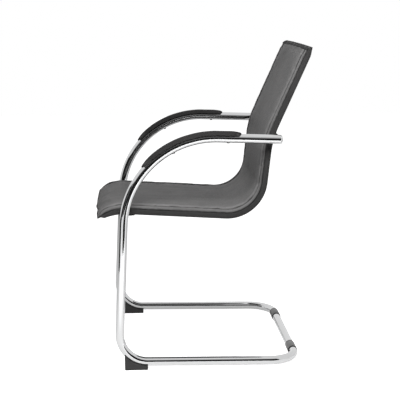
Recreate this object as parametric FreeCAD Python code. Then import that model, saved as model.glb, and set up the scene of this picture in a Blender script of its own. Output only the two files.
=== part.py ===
import FreeCAD, Part
import math
import os

# Cantilever visitor chair: two bent side frames of chromed tube, joined at the back of the floor
# loop by a connector tube, carry a one-piece upholstered plywood shell on four welded brackets.
# Millimetres. X runs across the chair (+X is the sitter's left), +Y to the rear, +Z up.

# Side frames
tube_od = 25.0
tube_wall = 1.5
side_clearance = 36.5
arm_overhang = 10.06
arm_end_z = 656.0
arm_corner_y = -219.0
arm_corner_z = 670.2
arm_bend_r = 256.0
floor_corner_y = -248.0
floor_corner_z = 23.0
floor_bend_r = 80.0
rear_corner_y = 265.5
rear_bend_r = 80.0

# Floor joint at the rear
stub_length = 28.0
slide_gap = 0.2
connector_wall = 1.5
connector_end_gap = 2.0
connector_shoulder = 5.0
sleeve_wall = 1.5
sleeve_length = 55.0
joint_screw_r = 2.0
joint_screw_length = 8.0

# Front feet
foot_width = 27.0
foot_length = 65.5
foot_front_reach = 66.6
foot_lip = 4.0
foot_corner_r = 1.5
foot_draft = 1.0
foot_screw_setbacks = (19.0, 50.0)
foot_screw_r = 2.0

# Arm end plugs
cap_dome = 4.3
cap_insert = 15.0
cap_wall = 2.0
cap_floor = 3.0

# Domed screws: the head's height and its rounding, as shares
screw_head_share = 1.1
head_rounding_share = 0.6

# Arm pads
pad_width = 40.0
pad_front_angle = 139.0
pad_rear_y = 98.0
pad_side_drop = 6.0
pad_base_above = 3.0
pad_foam_above = 4.0
pad_cover_thickness = 1.2
pad_base_inset = 2.6
pad_crown = 2.4
pad_side_bulge = 4.5
pad_end_share = 0.9
pad_nose_along_share = 0.28
pad_nose_up_share = 0.66
pad_foam_trim = 1.8
pad_base_trim = 6.0
pad_screw_cover = 1.0
pad_screw_angle = 118.0
pad_screw_y = 62.0
pad_screw_r = 2.0

# Upholstered shell: the line of its underside and rear face, seen from the side
shell_width = 442.0
seat_tip_reach = 65.5
seat_tip_drop = 12.6
seat_crest_y = -236.5
seat_crest_z = 441.1
seat_crest_r = 120.0
seat_corner_y = 168.0
seat_corner_z = 416.0
seat_corner_r = 114.0
back_kink_y = 193.7
back_kink_z = 649.3
back_kink_r = 267.0
back_top_y = 296.7
back_top_z = 881.3
back_top_r = 60.0
back_tip_lean = 4.3
back_tip_rise = 23.7

# Layers of the shell, counted from the rear surface
cover_thickness = 1.2
rear_padding_thickness = 2.8
plywood_thickness = 9.0
front_foam_thickness = 6.3
crown = 3.0
plywood_side_margin = 14.0
plywood_front_margin = 42.0
plywood_top_margin = 42.0

# Seams, rolled side edges and hems of the cover
band_height = 15.5
band_turn = 4.0
band_bow = 0.4
band_corner_r = 3.0
roll_reach = 8.0
roll_drop = 0.9
stitch_inset = 30.0
stitch_depth = 1.7
stitch_pinch = 5.0
seam_depth = 1.4
seam_lip = 1.4
hem_length = 8.0
hem_thickness = 4.0
nose_length = 30.0
nose_r = 40.0
envelope_under = 3.0
inset_slide_share = 1.5

# Brackets that carry the shell, and their bolts
bracket_thickness = 5.0
bracket_bar_width = 16.0
bracket_plate_depth = 40.0
bracket_plate_edge = 14.0
bracket_plate_past_bolt = 16.0
bracket_corner_r = 4.0
bracket_bolt_setback = 27.0
back_bracket_height = 22.0
bolt_edge_distance = 31.0
bolt_pitch = 34.0
bolt_r = 3.0
bolt_head_r = 5.5
bolt_head_height = 3.3
bolt_socket_r = 2.0
washer_r = 7.0
washer_thickness = 1.6
bolt_clearance = 0.3
tee_nut_barrel_r = 4.2
tee_nut_barrel_length = 8.0
tee_nut_flange_r = 9.0
tee_nut_flange_thickness = 1.5
bolt_end_gap = 0.5

tube_r = tube_od / 2
bore_r = tube_r - tube_wall
sleeve_r = tube_r + sleeve_wall
rear_corner_z = sleeve_r
half_shell = shell_width / 2
side_x = half_shell + side_clearance + tube_r
bolt_outer_x = half_shell - bolt_edge_distance
bolt_inner_x = bolt_outer_x - bolt_pitch
bracket_plate_outer_x = half_shell - bracket_plate_edge
bracket_plate_inner_x = bolt_inner_x - bracket_plate_past_bolt
stub_start_x = side_x - rear_bend_r
stub_end_x = stub_start_x - stub_length
plywood_bottom = cover_thickness + rear_padding_thickness
plywood_top = plywood_bottom + plywood_thickness
face_height = plywood_top + front_foam_thickness + cover_thickness
far = 1000.0
hair = 0.01
ACROSS = FreeCAD.Vector(1, 0, 0)
ORIGIN = FreeCAD.Vector(0, 0, 0)


def vec(x, y, z):
    return FreeCAD.Vector(x, y, z)


def side(y, z, x=0.0):
    """A point of the side view, at depth y and height z."""
    return vec(x, y, z)


def rounded_corner(before, corner, after, radius):
    """Both tangent points, the middle point and the centre of a corner's rounding arc."""
    a = (before - corner).normalize()
    b = (after - corner).normalize()
    half = a.getAngle(b) / 2
    reach = radius / math.tan(half)
    centre = corner + (a + b).normalize() * (radius / math.sin(half))
    middle = centre + (corner - centre).normalize() * radius
    return corner + a * reach, middle, corner + b * reach, centre


def line(a, b):
    return Part.LineSegment(a, b).toShape()


def arc(a, middle, b):
    return Part.Arc(a, middle, b).toShape()


def open_path(points, radii):
    """A wire through the points, with each inner corner rounded by its radius."""
    edges = []
    start = points[0]
    for i, radius in enumerate(radii):
        first, middle, last, _ = rounded_corner(points[i], points[i + 1], points[i + 2], radius)
        if start.distanceToPoint(first) > 1e-6:
            edges.append(line(start, first))
        edges.append(arc(first, middle, last))
        start = last
    edges.append(line(start, points[-1]))
    return Part.Wire(edges)


def closed_face(points, radii):
    """A face inside the closed polygon; each corner is rounded, or sharp where its radius is 0."""
    edges = []
    count = len(points)
    ends = []
    for i in range(count):
        if radii[i] > 0:
            first, middle, last, _ = rounded_corner(
                points[i - 1], points[i], points[(i + 1) % count], radii[i])
            ends.append((first, middle, last))
        else:
            ends.append((points[i], None, points[i]))
    for i in range(count):
        first, middle, last = ends[i]
        if middle is not None:
            edges.append(arc(first, middle, last))
        following = ends[(i + 1) % count][0]
        if last.distanceToPoint(following) > 1e-6:
            edges.append(line(last, following))
    return Part.Face(Part.Wire(edges))


def across(face, half_width):
    """The side-view face, carried across the chair to both sides of its middle."""
    copy = face.copy()
    copy.translate(vec(-half_width, 0, 0))
    return copy.extrude(vec(2 * half_width, 0, 0))


def sweep(path, section):
    """The closed section carried along the path as one solid."""
    return path.makePipeShell([section], True, False)


def round_bar(path, radius):
    """A bar of round section along the path."""
    start = path.Vertexes[0].Point
    edge = path.Edges[0]
    direction = edge.tangentAt(edge.FirstParameter)
    ring = Part.Wire(Part.makeCircle(radius, start, direction))
    return sweep(path, ring)


def cylinder(radius, start, direction, length):
    return Part.makeCylinder(radius, length, start, direction)


def mirrored(shape):
    return shape.mirror(ORIGIN, ACROSS)


# The shell's underside and rear face, seen from the side

shell_line = [
    side(seat_crest_y - seat_tip_reach, seat_crest_z - seat_tip_drop),
    side(seat_crest_y, seat_crest_z),
    side(seat_corner_y, seat_corner_z),
    side(back_kink_y, back_kink_z),
    side(back_top_y, back_top_z),
    side(back_top_y + back_tip_lean, back_top_z + back_tip_rise),
]
shell_radii = [seat_crest_r, seat_corner_r, back_kink_r, back_top_r]


def left_of(a, b):
    """The direction square to a run, on the side that the sitter touches."""
    along = (b - a).normalize()
    return vec(0, -along.z, along.y)


def crossing(path, a, b):
    """Where the straight line from a to b meets a path, and the path's direction there."""
    _, pairs, _ = path.distToShape(line(a, b))
    point = pairs[0][0]
    nearest = min(path.Edges, key=lambda e: e.distToShape(Part.Vertex(point))[0])
    parameter = nearest.Curve.parameter(point)
    along = nearest.tangentAt(parameter).normalize()
    return point, along


def back_station():
    """The rear surface point level with the arm's end, and the direction square to it."""
    path = open_path(shell_line, shell_radii)
    point, along = crossing(path, side(0, arm_end_z), side(far, arm_end_z))
    return point, left_of(ORIGIN, along)


# The side frame's centre line, from the arm's end round to the stub at the rear of the floor loop

arm_end_y = back_station()[0].y + arm_overhang
frame_points = [
    side(arm_end_y, arm_end_z, side_x),
    side(arm_corner_y, arm_corner_z, side_x),
    side(floor_corner_y, floor_corner_z, side_x),
    side(rear_corner_y, rear_corner_z, side_x),
    side(rear_corner_y, rear_corner_z, stub_end_x),
]
frame_radii = [arm_bend_r, floor_bend_r, rear_bend_r]
arm_bend_rear, _, _, arm_centre = rounded_corner(
    frame_points[0], frame_points[1], frame_points[2], arm_bend_r)
_, _, _, floor_centre = rounded_corner(
    frame_points[1], frame_points[2], frame_points[3], floor_bend_r)


def on_arm_bend(angle, radius):
    """A point of the arm's front bend, at an angle above the rearward level line."""
    turn = math.radians(angle)
    return arm_centre + vec(0, radius * math.cos(turn), radius * math.sin(turn))


def arm_station(y):
    """A point of the arm's straight rear run, and the direction square to it, upwards."""
    a, b = frame_points[0], frame_points[1]
    point = a + (b - a) * ((y - a.y) / (b.y - a.y))
    along = (a - b).normalize()
    return point, vec(0, -along.z, along.y)


def arm_pad_screw_axes():
    """The tube axis points where the pad's screws pass, with their upward directions."""
    bend = on_arm_bend(pad_screw_angle, arm_bend_r)
    return [(bend, (bend - arm_centre).normalize()), arm_station(pad_screw_y)]


def foot_screw_axes():
    """Floor points of the foot's screws, and the direction of each, square to the tube's bend."""
    axes = []
    for setback in foot_screw_setbacks:
        ahead = foot_front_reach - setback
        drop = math.sqrt((floor_bend_r + tube_r) ** 2 - ahead ** 2)
        wall = vec(side_x, floor_centre.y - ahead, floor_centre.z - drop)
        axes.append((wall, vec(0, 0, 1)))
    return axes


joint_direction = vec(0, 1, -1).normalize()


def joint_screw_start():
    """The point on the sleeve's lower rear quarter where the joint's screw enters."""
    x = stub_end_x + stub_length / 2
    return vec(x, rear_corner_y, rear_corner_z) + joint_direction * sleeve_r


def side_frame():
    path = open_path(frame_points, frame_radii)
    shape = round_bar(path, tube_r).cut(round_bar(path, bore_r))
    for point, up in arm_pad_screw_axes():
        shape = shape.cut(cylinder(pad_screw_r, point - up * tube_od, up, 2 * tube_od))
    for wall, up in foot_screw_axes():
        shape = shape.cut(cylinder(foot_screw_r, wall - up * foot_lip, up, tube_r))
    start = joint_screw_start()
    return shape.cut(cylinder(joint_screw_r, start, joint_direction * -1, tube_r))


def floor_bar(radius, from_x, to_x):
    """A round bar on the line of the rear floor joint."""
    return cylinder(radius, vec(from_x, rear_corner_y, rear_corner_z), ACROSS, to_x - from_x)


def connector_tube():
    """The cross tube, as wide as the frame's, with ends drawn down to slide into the stubs."""
    neck_x = stub_end_x - slide_gap
    end_x = stub_start_x - connector_end_gap
    hollow_x = neck_x - connector_shoulder
    neck_r = bore_r - slide_gap
    shape = floor_bar(tube_r, -neck_x, neck_x).fuse(floor_bar(neck_r, -end_x, end_x))
    shape = shape.removeSplitter().cut(floor_bar(bore_r, -hollow_x, hollow_x))
    shape = shape.cut(floor_bar(neck_r - connector_wall, -end_x, end_x))
    hole = cylinder(joint_screw_r, joint_screw_start(), joint_direction * -1, sleeve_r)
    return shape.cut(hole).cut(mirrored(hole))


def floor_sleeve():
    inner_x = stub_start_x - sleeve_length
    shape = floor_bar(sleeve_r, inner_x, stub_start_x)
    shape = shape.cut(floor_bar(tube_r, inner_x, stub_start_x))
    return shape.cut(cylinder(joint_screw_r, joint_screw_start(), joint_direction * -1, sleeve_r))


def pan_screw(start, direction, radius, length):
    """A domed screw whose head sits on start and whose shank runs along direction."""
    head_r = 2 * radius
    head_height = screw_head_share * radius
    shank = cylinder(radius, start, direction, length)
    head = cylinder(head_r, start - direction * head_height, direction, head_height)
    rim = [e for e in head.Edges if e.Closed and
           (e.CenterOfMass - (start - direction * head_height)).Length < 1e-6]
    return head.makeFillet(head_rounding_share * head_height, rim).fuse(shank).removeSplitter()


def floor_joint_screws():
    screw = pan_screw(joint_screw_start(), joint_direction * -1, joint_screw_r, joint_screw_length)
    return [screw, mirrored(screw)]


def front_foot():
    front = floor_centre.y - foot_front_reach
    rear = front + foot_length
    corners = [
        side(front, 0),
        side(rear, 0),
        side(rear, floor_centre.z),
        side(front - foot_draft, floor_centre.z),
    ]
    block = across(closed_face(corners, [foot_corner_r, foot_corner_r, 0, 0]), foot_width / 2)
    block.translate(vec(side_x, 0, 0))
    lip_r = floor_bend_r + tube_r - foot_lip
    over = cylinder(lip_r, vec(side_x - far, floor_centre.y, floor_centre.z), ACROSS, 2 * far)
    path = open_path(frame_points, frame_radii)
    block = block.cut(over).cut(round_bar(path, tube_r))
    for wall, up in foot_screw_axes():
        floor = vec(wall.x, wall.y, 0)
        block = block.cut(cylinder(foot_screw_r, floor, up, wall.z + foot_lip))
        block = block.cut(cylinder(2 * foot_screw_r + slide_gap, floor, up, wall.z / 2))
    return block


def foot_screws():
    screws = []
    for wall, up in foot_screw_axes():
        seat = vec(wall.x, wall.y, wall.z / 2)
        screws.append(pan_screw(seat, up, foot_screw_r, wall.z / 2 + 2 * tube_wall))
    return screws + [mirrored(s) for s in screws]


def arm_cap():
    end = frame_points[0]
    outward = (frame_points[0] - frame_points[1]).normalize()
    ball_r = (tube_r ** 2 + cap_dome ** 2) / (2 * cap_dome)
    ball = Part.makeSphere(ball_r, end + outward * (cap_dome - ball_r))
    dome = cylinder(tube_r, end, outward, 2 * cap_dome).common(ball)
    plug_r = bore_r - slide_gap
    plug = cylinder(plug_r, end - outward * cap_insert, outward, cap_insert)
    hollow = cylinder(plug_r - cap_wall, end - outward * cap_insert, outward,
                      cap_insert - cap_floor)
    return dome.fuse(plug.cut(hollow)).removeSplitter()


# Arm pads: a saddle base, foam and a sewn cover, carried along the front bend and the arm

def pad_path():
    start = on_arm_bend(pad_front_angle, arm_bend_r)
    middle = on_arm_bend((pad_front_angle + 90) / 2, arm_bend_r)
    end, _ = arm_station(pad_rear_y)
    return Part.Wire([arc(start, middle, arm_bend_rear), line(arm_bend_rear, end)])


def pad_section(half, bottom, top, crown_drop, corner_r):
    """The pad's cross-section: flat below, drawn in at its sides and crowned on top."""
    start = on_arm_bend(pad_front_angle, arm_bend_r)
    up = (start - arm_centre).normalize()

    def at(x, height):
        return start + ACROSS * x + up * height

    shoulder = top - crown_drop
    side_mid = (bottom + shoulder) / 2
    edges = [
        line(at(-half + corner_r, bottom), at(half - corner_r, bottom)),
        arc(at(half - corner_r, bottom), at(half, side_mid), at(half - corner_r, shoulder)),
        arc(at(half - corner_r, shoulder), at(0, top), at(-half + corner_r, shoulder)),
        arc(at(-half + corner_r, shoulder), at(-half, side_mid), at(-half + corner_r, bottom)),
    ]
    return Part.Wire(edges)


def pad_envelope(trim, bottom, top):
    """The pad seen from the side, with ends rounded over towards the tube."""
    turn = math.degrees(trim / arm_bend_r)
    front = pad_front_angle - turn
    low, high = arm_bend_r + bottom, arm_bend_r + top
    half_angle = (front + 90) / 2
    rear, up = arm_station(pad_rear_y - trim)
    bend_end = (arm_bend_rear - arm_centre).normalize()
    height = top - bottom
    reach = pad_end_share * height
    nose_up = pad_nose_up_share * height
    back_off = math.degrees(reach / arm_bend_r)
    along = (frame_points[0] - frame_points[1]).normalize()
    nose = on_arm_bend(front, low)
    shoulder = on_arm_bend(front - back_off, high)
    nose_mid = on_arm_bend(front - pad_nose_along_share * back_off, low + nose_up)
    tail = rear + up * bottom
    tail_shoulder = rear + up * top - along * reach
    tail_mid = rear + up * (bottom + nose_up) - along * (pad_nose_along_share * reach)
    edges = [
        arc(nose, on_arm_bend(half_angle, low), arm_centre + bend_end * low),
        line(arm_centre + bend_end * low, tail),
        arc(tail, tail_mid, tail_shoulder),
        line(tail_shoulder, arm_centre + bend_end * high),
        arc(arm_centre + bend_end * high, on_arm_bend(half_angle, high), shoulder),
        arc(shoulder, nose_mid, nose),
    ]
    return Part.Face(Part.Wire(edges))


def pad_layer(inset_side, trim, bottom, top, crown_drop, corner_r):
    section = pad_section(pad_width / 2 - inset_side, bottom, top, crown_drop, corner_r)
    body = sweep(pad_path(), section)
    envelope = pad_envelope(trim, bottom - hair, top + hair)
    envelope.translate(vec(-side_x, 0, 0))
    cut = across(envelope, pad_width)
    cut.translate(vec(side_x, 0, 0))
    return body.common(cut)


def arm_pad():
    """The base, foam and cover of the pad on the sitter's left arm."""
    path = open_path(frame_points, frame_radii)
    tube = round_bar(path, tube_r)
    low = tube_r - pad_side_drop
    base_top = tube_r + pad_base_above
    foam_top = base_top + pad_foam_above - pad_cover_thickness
    top = foam_top + pad_cover_thickness
    shrink = pad_cover_thickness
    below = low - slide_gap
    outer = pad_layer(0, 0, low, top, pad_crown, pad_side_bulge)
    inner = pad_layer(shrink, pad_foam_trim, below, foam_top, pad_crown, pad_side_bulge)
    core = pad_layer(shrink + pad_base_inset, pad_base_trim, below, base_top, pad_crown / 3,
                     pad_side_bulge / 2)
    cover = outer.cut(inner).cut(tube)
    foam = inner.common(outer).cut(core).cut(tube)
    base = core.common(outer).cut(tube)
    for point, up in arm_pad_screw_axes():
        base = base.cut(cylinder(pad_screw_r, point, up, base_top - pad_screw_cover))
    return base, foam, cover


def arm_pad_screws():
    screws = []
    for point, up in arm_pad_screw_axes():
        start = point - up * tube_r
        reach = tube_od + pad_base_above - pad_screw_cover
        screws.append(pan_screw(start, up, pad_screw_r, reach))
    return screws + [mirrored(s) for s in screws]


# The shell's lines, offset upwards and forwards from its underside and rear face

def meet(a, along_a, b, along_b):
    """Where two lines of the side view cross."""
    cross = along_a.y * along_b.z - along_a.z * along_b.y
    gap = b - a
    reach = (gap.y * along_b.z - gap.z * along_b.y) / cross
    return a + along_a * reach


def shell_offset(height, front_margin=0.0, top_margin=0.0):
    """Corner points and radii of the shell's line, moved by height towards the sitter."""
    points = list(shell_line)
    first = (points[1] - points[0]).normalize()
    last = (points[-1] - points[-2]).normalize()
    points[0] = points[0] + first * front_margin
    if top_margin > (points[-1] - points[-2]).Length:
        left = top_margin - (points[-1] - points[-2]).Length
        points = points[:-1]
        last = (points[-1] - points[-2]).normalize()
        points[-1] = points[-1] - last * left
    else:
        points[-1] = points[-1] - last * top_margin
    moved = [points[0] + left_of(points[0], points[1]) * height]
    radii = []
    for i in range(1, len(points) - 1):
        before, here, after = points[i - 1], points[i], points[i + 1]
        a = before + left_of(before, here) * height
        b = here + left_of(here, after) * height
        moved.append(meet(a, here - before, b, after - here))
        turn = (here - before).y * (after - here).z - (here - before).z * (after - here).y
        radii.append(shell_radii[i - 1] - math.copysign(height, turn))
    moved.append(points[-1] + left_of(points[-2], points[-1]) * height)
    return moved, radii


def layer_face(low, high, front_margin, top_margin):
    """The side view of a layer between two heights over the shell's rear surface."""
    below, below_radii = shell_offset(low, front_margin, top_margin)
    above, above_radii = shell_offset(high, front_margin, top_margin)
    points = below + above[::-1]
    radii = [0] + below_radii + [0, 0] + above_radii[::-1] + [0]
    return closed_face(points, radii)


def shell_envelope(inset):
    """The shell seen from the side: thin hems, rounded noses and the crowned face's height."""
    low, low_radii = shell_offset(-envelope_under)
    top = face_height + crown + cover_thickness - inset
    high, high_radii = shell_offset(top)
    seat_along = (shell_line[1] - shell_line[0]).normalize()
    seat_up = left_of(shell_line[0], shell_line[1])
    tip_along = (shell_line[-1] - shell_line[-2]).normalize()
    tip_up = left_of(shell_line[-2], shell_line[-1])
    back_along = (shell_line[-2] - shell_line[-3]).normalize()
    thin = hem_thickness - inset
    slide = inset_slide_share * inset
    tip, front = shell_line[-1], shell_line[0]
    back_nose = high[-2] - back_along * (nose_length + slide - (tip - shell_line[-2]).Length)
    points = low + [
        tip + tip_up * thin,
        tip - tip_along * (hem_length + slide) + tip_up * thin,
        back_nose,
    ] + high[-3:0:-1] + [
        front + seat_along * (nose_length + slide) + seat_up * top,
        front + seat_along * (hem_length + slide) + seat_up * thin,
        front + seat_up * thin,
    ]
    radii = ([0] + low_radii + [0, 0, hem_length / 2, nose_r]
             + high_radii[-2::-1] + [nose_r, hem_length / 2, 0])
    return closed_face(points, radii)


def shell_section(inset):
    """The shell's cross-section: crowned face, stitched channels, rolled edges and side bands."""
    start = shell_path_start()
    up = left_of(shell_line[0], shell_line[1])
    edge = half_shell - inset
    bowed = edge - band_bow
    seam = edge - seam_depth
    eased = band_corner_r * (1 - math.cos(math.radians(45)))
    stitch = half_shell - stitch_inset
    face = face_height - inset
    channel = face - stitch_depth
    slope = face - stitch_depth / 3

    def half(way):
        """One side's edges, from the lower edge up to the near side of the face."""
        def at(x, height):
            return start + ACROSS * (way * x) + up * height

        return [
            arc(at(bowed - band_corner_r, inset), at(bowed - eased, inset + eased),
                at(bowed, inset + band_corner_r)),
            arc(at(bowed, inset + band_corner_r), at(edge, band_height / 2),
                at(bowed, band_height - seam_lip)),
            line(at(bowed, band_height - seam_lip), at(seam, band_height)),
            line(at(seam, band_height), at(bowed, band_height + seam_lip)),
            arc(at(bowed, band_height + seam_lip), at(edge - roll_reach, face - roll_drop),
                at(stitch + stitch_pinch, face)),
            arc(at(stitch + stitch_pinch, face), at(stitch + stitch_pinch / 3, slope),
                at(stitch, channel)),
            arc(at(stitch, channel), at(stitch - stitch_pinch / 3, slope),
                at(stitch - stitch_pinch, face)),
        ]

    reach = ACROSS * (stitch - stitch_pinch)
    top = arc(start + reach + up * face, start + up * (face + crown), start - reach + up * face)
    foot = ACROSS * (bowed - band_corner_r)
    bottom = line(start - foot + up * inset, start + foot + up * inset)
    return Part.Wire(half(1) + [top] + half(-1)[::-1] + [bottom])


def shell_path_start():
    first = (shell_line[1] - shell_line[0]).normalize()
    return shell_line[0] - first * nose_length


def shell_path():
    """The shell's line, run on past both ends so that its ends can be shaped afterwards."""
    points = list(shell_line)
    last = (points[-1] - points[-2]).normalize()
    points[0] = shell_path_start()
    points[-1] = points[-1] + last * nose_length
    return open_path(points, shell_radii)


def shell_region(low, high, x_from, x_to):
    """Everything between two heights over the shell's line and two distances across."""
    face = layer_face(low, high, -nose_length, -nose_length)
    face.translate(vec(x_from, 0, 0))
    return face.extrude(vec(x_to - x_from, 0, 0))


def hem_region(tip, inwards, up):
    """The strip at one end of the shell where the covers are sewn flat together."""
    a = tip - inwards * hem_length
    b = tip + inwards * hem_length
    under, over = up * -face_height, up * (2 * face_height)
    face = closed_face([a + under, b + under, b + over, a + over], [0, 0, 0, 0])
    return across(face, half_shell + hem_length)


def hem_regions():
    seat_along = (shell_line[1] - shell_line[0]).normalize()
    back_along = (shell_line[-2] - shell_line[-1]).normalize()
    front = hem_region(shell_line[0], seat_along, left_of(shell_line[0], shell_line[1]))
    top = hem_region(shell_line[-1], back_along, left_of(shell_line[-2], shell_line[-1]))
    return front, top


def upright_at(height):
    path = open_path(frame_points, frame_radii)
    point, _ = crossing(path, side(-far, height, side_x), side(0, height, side_x))
    return point


def seat_station():
    """The underside point between the seat brackets' bolts, and its upward direction."""
    upright = upright_at(seat_crest_z)
    y = upright.y - bracket_bar_width / 2 + bracket_bolt_setback
    path = open_path(shell_line, shell_radii)
    point, along = crossing(path, side(y, 0), side(y, seat_crest_z + seat_corner_r))
    return point, left_of(ORIGIN, along)


def bolt_axes():
    """The surface point and inward direction of each bolt on the sitter's left."""
    axes = []
    for point, up in (seat_station(), back_station()):
        for x in (bolt_outer_x, bolt_inner_x):
            axes.append((vec(x, point.y, point.z), up))
    return axes


def bolt_holes(radius, low, high):
    """Cylinders round every bolt of the shell, from one height over its surface to another."""
    holes = []
    for point, up in bolt_axes():
        hole = cylinder(radius, point + up * low, up, high - low)
        holes += [hole, mirrored(hole)]
    return holes


def cut_all(shape, tools):
    for tool in tools:
        shape = shape.cut(tool)
    return shape


def end_stub():
    """The arm's tube and plug, as the solid that the back bracket's end is coped to."""
    outward = (frame_points[0] - frame_points[1]).normalize()
    return cylinder(tube_r, frame_points[0] + outward * tube_od, outward * -1, 6 * tube_od)


def seat_bracket():
    upright = upright_at(seat_crest_z)
    front = upright.y - bracket_bar_width / 2
    outline = [
        vec(bracket_plate_inner_x, front, 0),
        vec(side_x, front, 0),
        vec(side_x, front + bracket_bar_width, 0),
        vec(bracket_plate_outer_x, front + bracket_bar_width, 0),
        vec(bracket_plate_outer_x, front + bracket_plate_depth, 0),
        vec(bracket_plate_inner_x, front + bracket_plate_depth, 0),
    ]
    r = bracket_corner_r
    prism = closed_face(outline, [r, 0, 0, r, r, r]).extrude(vec(0, 0, far))
    sheet = shell_region(-bracket_thickness, 0, bracket_plate_inner_x, side_x)
    path = open_path(frame_points, frame_radii)
    shape = sheet.common(prism).cut(round_bar(path, tube_r))
    return cut_all(shape, bolt_holes(bolt_r + bolt_clearance, -2 * bracket_thickness, 0))


def back_bracket():
    """A flat strap from the arm's end to the shell's rear face, hollowed to fit its curve."""
    point, up = back_station()
    along = vec(0, -up.z, up.y)
    start = point - up * bracket_thickness
    half = along * (back_bracket_height / 2)
    inner, outer = ACROSS * bracket_plate_inner_x, ACROSS * side_x
    r = bracket_corner_r
    outline = [start + inner - half, start + outer - half, start + outer + half, start + inner + half]
    strap = closed_face(outline, [r, 0, 0, r]).extrude(up * (2 * bracket_thickness))
    shape = strap.cut(shell_region(0, face_height, 0, 2 * side_x)).cut(end_stub())
    return cut_all(shape, bolt_holes(bolt_r + bolt_clearance, -2 * bracket_thickness, 0))


def shell_bolts():
    bolts = []
    under_head = bracket_thickness + washer_thickness
    reach = under_head + plywood_top - bolt_end_gap
    for point, up in bolt_axes():
        start = point - up * under_head
        head = cylinder(bolt_head_r, start - up * bolt_head_height, up, bolt_head_height)
        rim = [e for e in head.Edges if e.Closed and
               (e.CenterOfMass - (start - up * bolt_head_height)).Length < 1e-6]
        head = head.makeFillet(head_rounding_share * bolt_head_height, rim)
        socket = cylinder(bolt_socket_r, start - up * bolt_head_height, up, bolt_head_height / 2)
        shank = cylinder(bolt_r, start, up, reach)
        bolt = head.cut(socket).fuse(shank).removeSplitter()
        bolts += [bolt, mirrored(bolt)]
    return bolts


def shell_washers():
    washers = []
    for point, up in bolt_axes():
        start = point - up * (bracket_thickness + washer_thickness)
        ring = cylinder(washer_r, start, up, washer_thickness)
        ring = ring.cut(cylinder(bolt_r + bolt_clearance, start, up, washer_thickness))
        washers += [ring, mirrored(ring)]
    return washers


def tee_nuts():
    nuts = []
    for point, up in bolt_axes():
        top = point + up * plywood_top
        barrel = cylinder(tee_nut_barrel_r, top - up * tee_nut_barrel_length, up,
                          tee_nut_barrel_length)
        flange = cylinder(tee_nut_flange_r, top, up, tee_nut_flange_thickness)
        bore = cylinder(bolt_r, top - up * plywood_top, up, 2 * plywood_top)
        nut = barrel.fuse(flange).removeSplitter().cut(bore)
        nuts += [nut, mirrored(nut)]
    return nuts


def plywood_board():
    """The moulded plywood before its bolt holes are drilled."""
    face = layer_face(plywood_bottom, plywood_top, plywood_front_margin, plywood_top_margin)
    return across(face, half_shell - plywood_side_margin)


def plywood_shell():
    return cut_all(plywood_board(), bolt_holes(tee_nut_barrel_r, 0, 2 * plywood_top))


def upholstery():
    """Foam, padding and the sewn pieces of the cover, by name."""
    path = shell_path()
    wide = half_shell + hem_length
    high = 3 * face_height
    outer = sweep(path, shell_section(0)).common(across(shell_envelope(0), wide))
    inner = sweep(path, shell_section(cover_thickness)).common(
        across(shell_envelope(cover_thickness), wide))
    front_hem, top_hem = hem_regions()
    inner = inner.cut(front_hem).cut(top_hem)
    skin = outer.cut(front_hem).cut(top_hem).cut(inner)
    split = 2 * cover_thickness
    stitch = half_shell - stitch_inset
    band_x = half_shell - band_turn
    side_region = shell_region(split, high, stitch, band_x).fuse(
        shell_region(band_height, high, band_x, wide))
    left_panel = skin.common(side_region)
    left_band = skin.common(shell_region(-split, band_height, band_x, wide))
    through = bolt_holes(bolt_r + bolt_clearance, -split, plywood_bottom)
    rear_cover = skin.common(shell_region(-split, split, -band_x, band_x))
    padding = inner.common(shell_region(-split, plywood_bottom, -wide, wide))
    foam = inner.common(shell_region(plywood_bottom, high, -wide, wide)).cut(plywood_board())
    foam = cut_all(foam, bolt_holes(tee_nut_flange_r, plywood_bottom,
                                    plywood_top + tee_nut_flange_thickness))
    seat_side = seat_half_space()
    return {
        "front_hem": outer.common(front_hem),
        "top_hem": outer.common(top_hem),
        "centre_cover_panel": skin.common(shell_region(split, high, -stitch, stitch)),
        "left_cover_panel": left_panel,
        "right_cover_panel": mirrored(left_panel),
        "left_side_band": left_band,
        "right_side_band": mirrored(left_band),
        "rear_cover_panel": cut_all(rear_cover, through),
        "rear_padding": cut_all(padding, through),
        "seat_foam": foam.common(seat_side),
        "back_foam": foam.cut(seat_side),
    }


def seat_half_space():
    """Everything in front of and below the line that halves the corner of seat and back."""
    _, middle, _, centre = rounded_corner(
        shell_line[1], shell_line[2], shell_line[3], seat_corner_r)
    cut_line = (middle - centre).normalize()
    a, b = centre - cut_line * far, centre + cut_line * far
    return across(closed_face([a, b, side(-far, -far)], [0, 0, 0]), far)


def build():
    """Every piece of the chair by name; a list is a group of like pieces."""
    frame = side_frame()
    sleeve = floor_sleeve()
    foot = front_foot()
    cap = arm_cap()
    base, foam, cover = arm_pad()
    seat_mount = seat_bracket()
    back_mount = back_bracket()
    pieces = {
        "floor_connector_tube": connector_tube(),
        "floor_joint_screws": floor_joint_screws(),
        "front_foot_screws": foot_screws(),
        "arm_pad_screws": arm_pad_screws(),
        "shell_bolts": shell_bolts(),
        "shell_washers": shell_washers(),
        "shell_tee_nuts": tee_nuts(),
        "plywood_shell": plywood_shell(),
    }
    pairs = {
        "side_frame": frame, "floor_sleeve": sleeve, "front_foot": foot, "arm_end_cap": cap,
        "arm_pad_base": base, "arm_pad_foam": foam, "arm_pad_cover": cover,
        "seat_bracket": seat_mount, "back_bracket": back_mount,
    }
    for name, shape in pairs.items():
        pieces["left_" + name] = shape
        pieces["right_" + name] = mirrored(shape)
    pieces.update(upholstery())
    return pieces


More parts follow.
